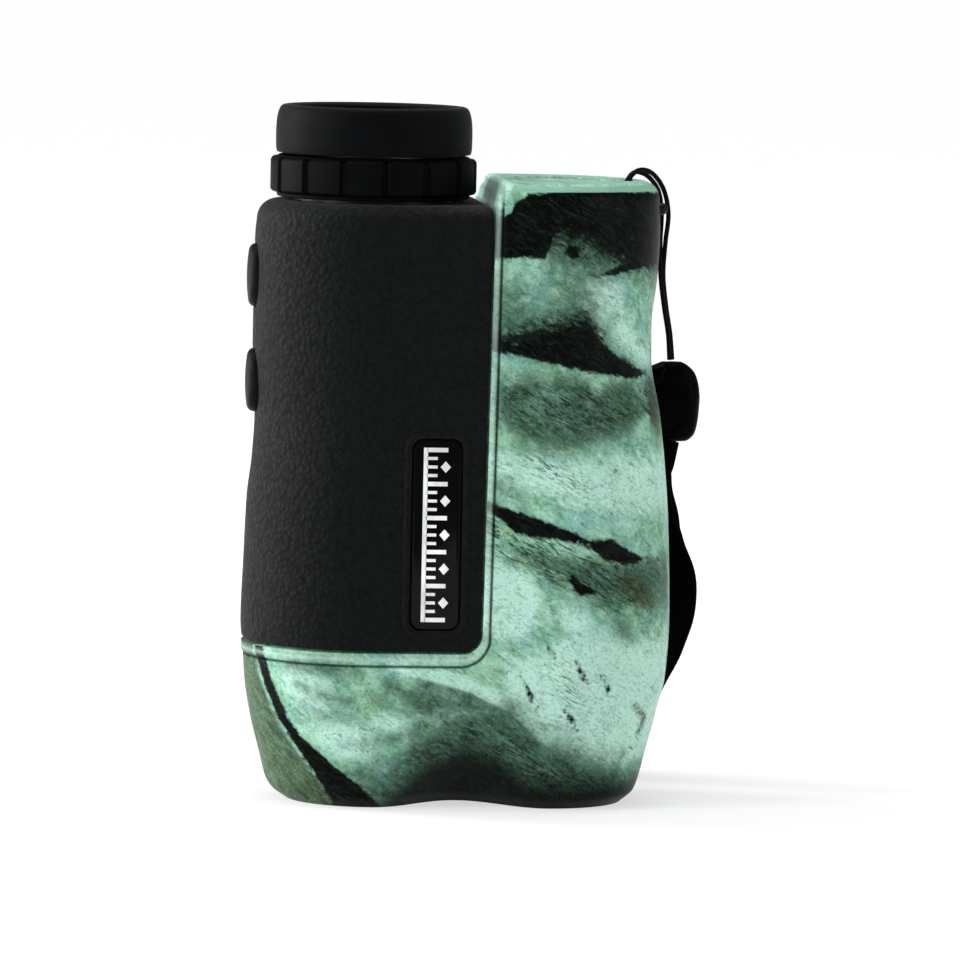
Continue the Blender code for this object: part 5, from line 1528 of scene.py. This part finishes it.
def make_eyepiece(mats):
    def add(name, corners, mat, body, node, **how):
        piece(turned_piece(name, corners, VIEW_X, mats[mat], **how), body, node)

    barrel = ((11.3, 78.0, 0), (12.3, 78.0, 0.2), (12.3, 94.7, 0.1), (15.0, 94.7, 0.2),
              (15.0, 96.2, 0.2), (13.2, 96.2, 0.1), (13.2, 105.9, 0.3), (11.3, 105.9, 0.2))
    add("eyepiece_turned_barrel", barrel, "black_metal", "casing", "eyepiece_barrel")
    ring = ((HOLE_R, 100.2, 0.1), (16.0, 100.2, 0.35), (16.0, 100.85, 0.12), (16.75, 101.0, 0.1),
            (17.1, 101.35, 0.15), (17.1, 106.3, 0.3), (16.7, 106.75, 0.1), (16.0, 106.8, 0.1),
            (15.8, 107.1, 0.15), (11.9, 107.1, 0.1), (11.9, 106.2, 0.1), (HOLE_R, 106.2, 0.1))
    add("dioptre_grip_ring", ring, "ring", "dioptre", "diopter_ring", steps=360,
        radius_at=ring_radius, sharp=30, round_steps=3)
    tube = ((13.2, 107.4, 0.1), (14.0, 107.4, 0.1), (14.0, 113.4, 0.25), (13.2, 113.4, 0.15))
    add("eyecup_guide", tube, "plastic", "dioptre", "eyecup_guide_tube")
    cell = ((8.6, 84.0, 0.1), (11.0, 84.0, 0.2), (11.0, 106.4, 0.2), (10.2, 106.4, 0.15),
            (10.2, 85.4, 0.05), (8.6, 85.4, 0.1))
    add("eyepiece_lens_cell", cell, "black_metal", "eyepiece", "eyepiece_cell")
    lens = lens_profile(9.9, (100.8, 1.6, 0.08), (102.6, 1.0, 0.1),
                        (0.15, 0.3, 0.45, 0.6, 0.75, 0.88))
    add("eye_lens_glass", lens, "eye_glass", "eyepiece", "eye_lens", sharp=25)
    retainer = ((8.2, 104.3, 0.1), (9.9, 104.3, 0.1), (9.9, 106.0, 0.2), (9.2, 106.0, 0.2))

    def notched(r, z, angle):
        near = min(abs((math.degrees(angle) - a + 180) % 360 - 180) for a in (0, 180))
        return min(r, 9.35) if near < 7 and z > 105.2 and r > 9.35 else r

    add("lens_retainer", retainer, "black_metal", "eyepiece", "eyepiece_retaining_ring",
        steps=180, radius_at=notched, sharp=30, round_steps=3)
    cam = ((11.6, 107.5, 0.1), (12.9, 107.5, 0.15), (12.9, 109.8, 0.2), (11.6, 109.8, 0.2))
    add("eyecup_cam", cam, "plastic", "eyecup_cam", "eyecup_cam_ring")
    sleeve = ((14.3, 107.6, 0.1), (14.9, 107.6, 0.1), (14.9, 113.5, 0.1), (14.3, 113.5, 0.1))
    add("eyecup_inner_sleeve", sleeve, "plastic", "eyecup", "eyecup_sleeve")
    rubber = ((15.2, 107.5, 0.1), (16.1, 107.5, 0.25), (16.25, 108.4, 0.3), (16.3, 111.0, 1.0),
              (16.15, 113.6, 1.2), (15.5, 115.35, 1.6), (14.0, 115.4, 0.8), (12.95, 114.9, 0.5),
              (12.9, 113.9, 0.12), (15.2, 113.9, 0.1))
    add("eyecup_soft_rubber", rubber, "eyecup", "eyecup", "eyecup_rubber", steps=128, sharp=60,
        round_steps=7)


# ---------------------------------------------------------------- lens end

def make_lens_end(mats):
    for prefix, x, tint in (("objective", VIEW_X, "green_lens"),
                            ("receiver", RECEIVER_X, "red_lens")):
        bezel = [(9.5, 1.4, 0.05), (9.72, 1.05, 0.06), (10.0, 1.4, 0.05), (10.0, 7.4, 0.1)]
        for k in range(7):
            z = 7.2 - 0.8 * k
            bezel += [(9.12 + 0.045 * k, z, 0.02), (9.42 + 0.01 * k, z - 0.4, 0.02)]
        piece(turned_piece(f"{prefix}_ribbed_bezel", bezel, x, mats["plastic"], 96, sharp=30,
                           round_steps=2), "casing", f"{prefix}_bezel")
        if prefix == "objective":
            cell = ((9.6, 8.3, 0.1), (12.2, 8.3, 0.2), (12.2, 26.0, 0.3), (11.0, 26.0, 0.2),
                    (11.0, 9.2, 0.1), (9.6, 9.2, 0.1))
        else:
            cell = ((9.6, 8.3, 0.1), (12.2, 8.3, 0.2), (12.2, 26.0, 1.0), (6.6, 46.8, 0.2),
                    (5.6, 46.8, 0.1), (11.0, 25.6, 0.6), (11.0, 9.2, 0.1), (9.6, 9.2, 0.1))
        piece(turned_piece(f"{prefix}_lens_cell", cell, x, mats["black_metal"]), "casing",
              f"{prefix}_cell")
        lens = lens_profile(10.7, (10.4, 0.8, 0.06), (12.0, 0.8, 0.06),
                            (0.12, 0.25, 0.4, 0.55, 0.7, 0.82, 0.92))
        piece(turned_piece(f"{prefix}_coated_lens", lens, x, mats[tint], sharp=25), "casing",
              f"{prefix}_lens")


# ---------------------------------------------------------------- buttons, cap, pin, screws

def make_buttons(mat):
    for name, body in (("power", "power_key"), ("mode", "mode_key")):
        z = BUTTON_Z[name]
        round_r, dish = 1.25, 0.28
        sections = [(BUTTON_LONG + 1.6, BUTTON_WIDE + 1.2, -30.7),
                    (BUTTON_LONG + 1.6, BUTTON_WIDE + 1.2, -31.3),
                    (BUTTON_LONG, BUTTON_WIDE, -31.301), (BUTTON_LONG, BUTTON_WIDE, -33.0)]
        face = BUTTON_FACE_X + dish
        for k in range(9):
            angle = math.pi / 2 * k / 8
            size = 2 * round_r * (1 - math.cos(angle))
            sections.append((BUTTON_LONG - size, BUTTON_WIDE - size,
                             face + round_r * (1 - math.sin(angle))))
        for share in (0.8, 0.55, 0.3):
            sections.append(((BUTTON_LONG - 2 * round_r) * share + 0.2,
                             (BUTTON_WIDE - 2 * round_r) * share,
                             face - dish * (1 - share * share)))
        bm = bmesh.new()
        pill(bm, sections, z, 16)
        piece(from_bmesh(f"{name}_rubber_key", bm, mat, 40), body, f"{name}_button")


def make_battery_cap(mats):
    x = BATTERY_X

    def knurled(r, z, angle):
        return r - 0.16 * (0.5 + 0.5 * math.cos(angle * 60)) if r > 8.3 and z > 100.6 else r

    cap = ((0, 97.5, 0), (7.3, 97.5, 0.2), (7.3, 100.3, 0.1), (CAP_R, 100.3, 0.1),
           (CAP_R, 102.7, 0.1), (CAP_R - 0.05, 103.1, 0.35), (7.7, 103.4, 0.3),
           (7.2, 103.4, 0.15), (6.9, 103.15, 0.15), (0, 103.15, 0))
    obj = turned_piece("battery_coin_cap", cap, x, mats["plastic"], 240, knurled, 30)
    bm = bmesh.new()
    slot = rounded_outline(12.4, 1.5, 0.7, 8)
    prism(bm, slot, lambda u, v, end: (x + u, v, (102.2, 110)[end]))
    cut(obj, "DIFFERENCE", from_bmesh("coin_slot", bm))
    one_material(obj, mats["cap"])
    piece(obj, "cap", "battery_cap")
    seal = [(8.1 + 0.5 * math.cos(math.tau * k / 20), 99.05 + 0.52 * math.sin(math.tau * k / 20),
             0) for k in range(20)]
    piece(turned_piece("cap_o_ring", seal, x, mats["rubber"], sharp=80), "cap", "cap_seal")


def make_pin(mat):
    bm = bmesh.new()
    turned(bm, rounded_profile(((0, 24.9, 0), (1.0, 24.9, 0.15), (1.0, 33.9, 0.3),
                                (0.6, 34.4, 0.2), (0, 34.4, 0)), 4), 0, 48)
    for vert in bm.verts:
        across, side, along = vert.co
        vert.co = (along, side, PIN_Z + across)
    piece(from_bmesh("strap_steel_pin", bm, mat), "casing", "strap_pin")


def make_screws(mat):
    """Case screws with a cross recess, at the bottom of their counterbores."""
    for number, (x, z, seat) in enumerate(SCREWS, 1):
        profile = rounded_profile(((0, -9.0, 0), (0.7, -9.0, 0.2), (1.0, -8.2, 0.2),
                                   (1.0, seat, 0.05), (1.9, seat, 0.1), (1.9, seat + 1.4, 0.4),
                                   (1.3, seat + 1.8, 0.3), (0, seat + 1.8, 0)), 3)
        bm = bmesh.new()
        turned(bm, profile, 0, 48)
        for vert in bm.verts:
            across, depth, along = vert.co
            vert.co = (x + across, along, z - depth)
        obj = from_bmesh(f"cross_screw_{number}", bm, mat, 30)
        bm = bmesh.new()
        arm, half = 1.05, 0.2
        outline = [(half, half), (arm, half), (arm, -half), (half, -half), (half, -arm),
                   (-half, -arm), (-half, -half), (-arm, -half), (-arm, half), (-half, half),
                   (-half, arm), (half, arm)]
        prism(bm, outline, lambda u, v, end: (x + u, (seat + 0.9, seat + 3)[end], z + v))
        cut(obj, "DIFFERENCE", from_bmesh("cross", bm))
        one_material(obj, mat)
        piece(obj, "casing", f"case_screw_{number}")


# ---------------------------------------------------------------- the scene

CARRIED_OVER = {
    "battery_sleeve": ("battery",),
    "board": ("laser_board", "receiver_board", "main_board", "button_board"),
    "brass": ("cap_contact",),
    "inner_glass": ("field_lens", "half_penta_prism", "roof_prism", "display_module"),
    "plastic": ("prism_cage", "battery_tube"),
    "steel": ("laser_diode", "sensor", "power_switch", "mode_switch", "battery_spring"),
}


def make_materials():
    return {
        "badge": rubber_material("badge_gloss", srgb(2, 3, 3), 0.14, 1.2, 0.002, 0.12),
        "battery_sleeve": battery_material(),
        "black_metal": metal_material("black_anodised", srgb(52, 53, 56), 0.42),
        "board": board_material(),
        "brass": metal_material("brass_contact", srgb(214, 176, 96), 0.3),
        "camo": camo_material(),
        "cap": rubber_material("cap_mint_plastic", srgb(150, 192, 178), 0.45, 3.0, 0.01, 0.2),
        "cord": cord_material(),
        "eye_glass": lens_material("eye_lens_coating", srgb(22, 34, 58)),
        "eyecup": rubber_material("eyecup_rubber_skin", srgb(4, 5, 6), 0.55, 5.0, 0.01, 0.03,
                                  0.04),
        "green_lens": lens_material("viewing_coating", srgb(14, 60, 44)),
        "inner_glass": glass_material("inner_glass", (0.82, 0.88, 0.92)),
        "key": rubber_material("key_rubber", srgb(7, 8, 8), 0.5, 4.0, 0.012, 0.08),
        "leatherette": leatherette_material(),
        "plastic": rubber_material("black_plastic_skin", srgb(9, 10, 10), 0.42, 6.0, 0.008, 0.2),
        "print": rubber_material("printed_white", srgb(226, 228, 228), 0.45, 4.0, 0.003, 0.4),
        "red_lens": lens_material("receiving_coating", srgb(74, 24, 30)),
        "ring": rubber_material("dioptre_ring_rubber", srgb(4, 5, 5), 0.5, 5.0, 0.012, 0.03),
        "rubber": rubber_material("seal_rubber", srgb(16, 16, 17), 0.6),
        "steel": metal_material("plated_steel", srgb(190, 192, 196), 0.28),
        "pin": metal_material("blackened_steel", srgb(38, 39, 41), 0.42),
        "toggle": rubber_material("toggle_rubber", srgb(2, 2, 3), 0.36, 4.0, 0.012, 0.02),
        "webbing": webbing_material(),
    }


def main():
    make_studio()
    make_camera()
    mats = make_materials()
    make_strap(mats)
    for shell in make_shells(mats["camo"]):
        paint_camo(shell)
    make_panel(mats["leatherette"])
    make_badge(mats)
    make_eyepiece(mats)
    make_lens_end(mats)
    make_buttons(mats["key"])
    make_battery_cap(mats)
    make_pin(mats["pin"])
    make_screws(mats["steel"])
    for name, nodes in CARRIED_OVER.items():
        for node in nodes:
            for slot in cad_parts[node].material_slots:
                slot.material = mats[name]


main()
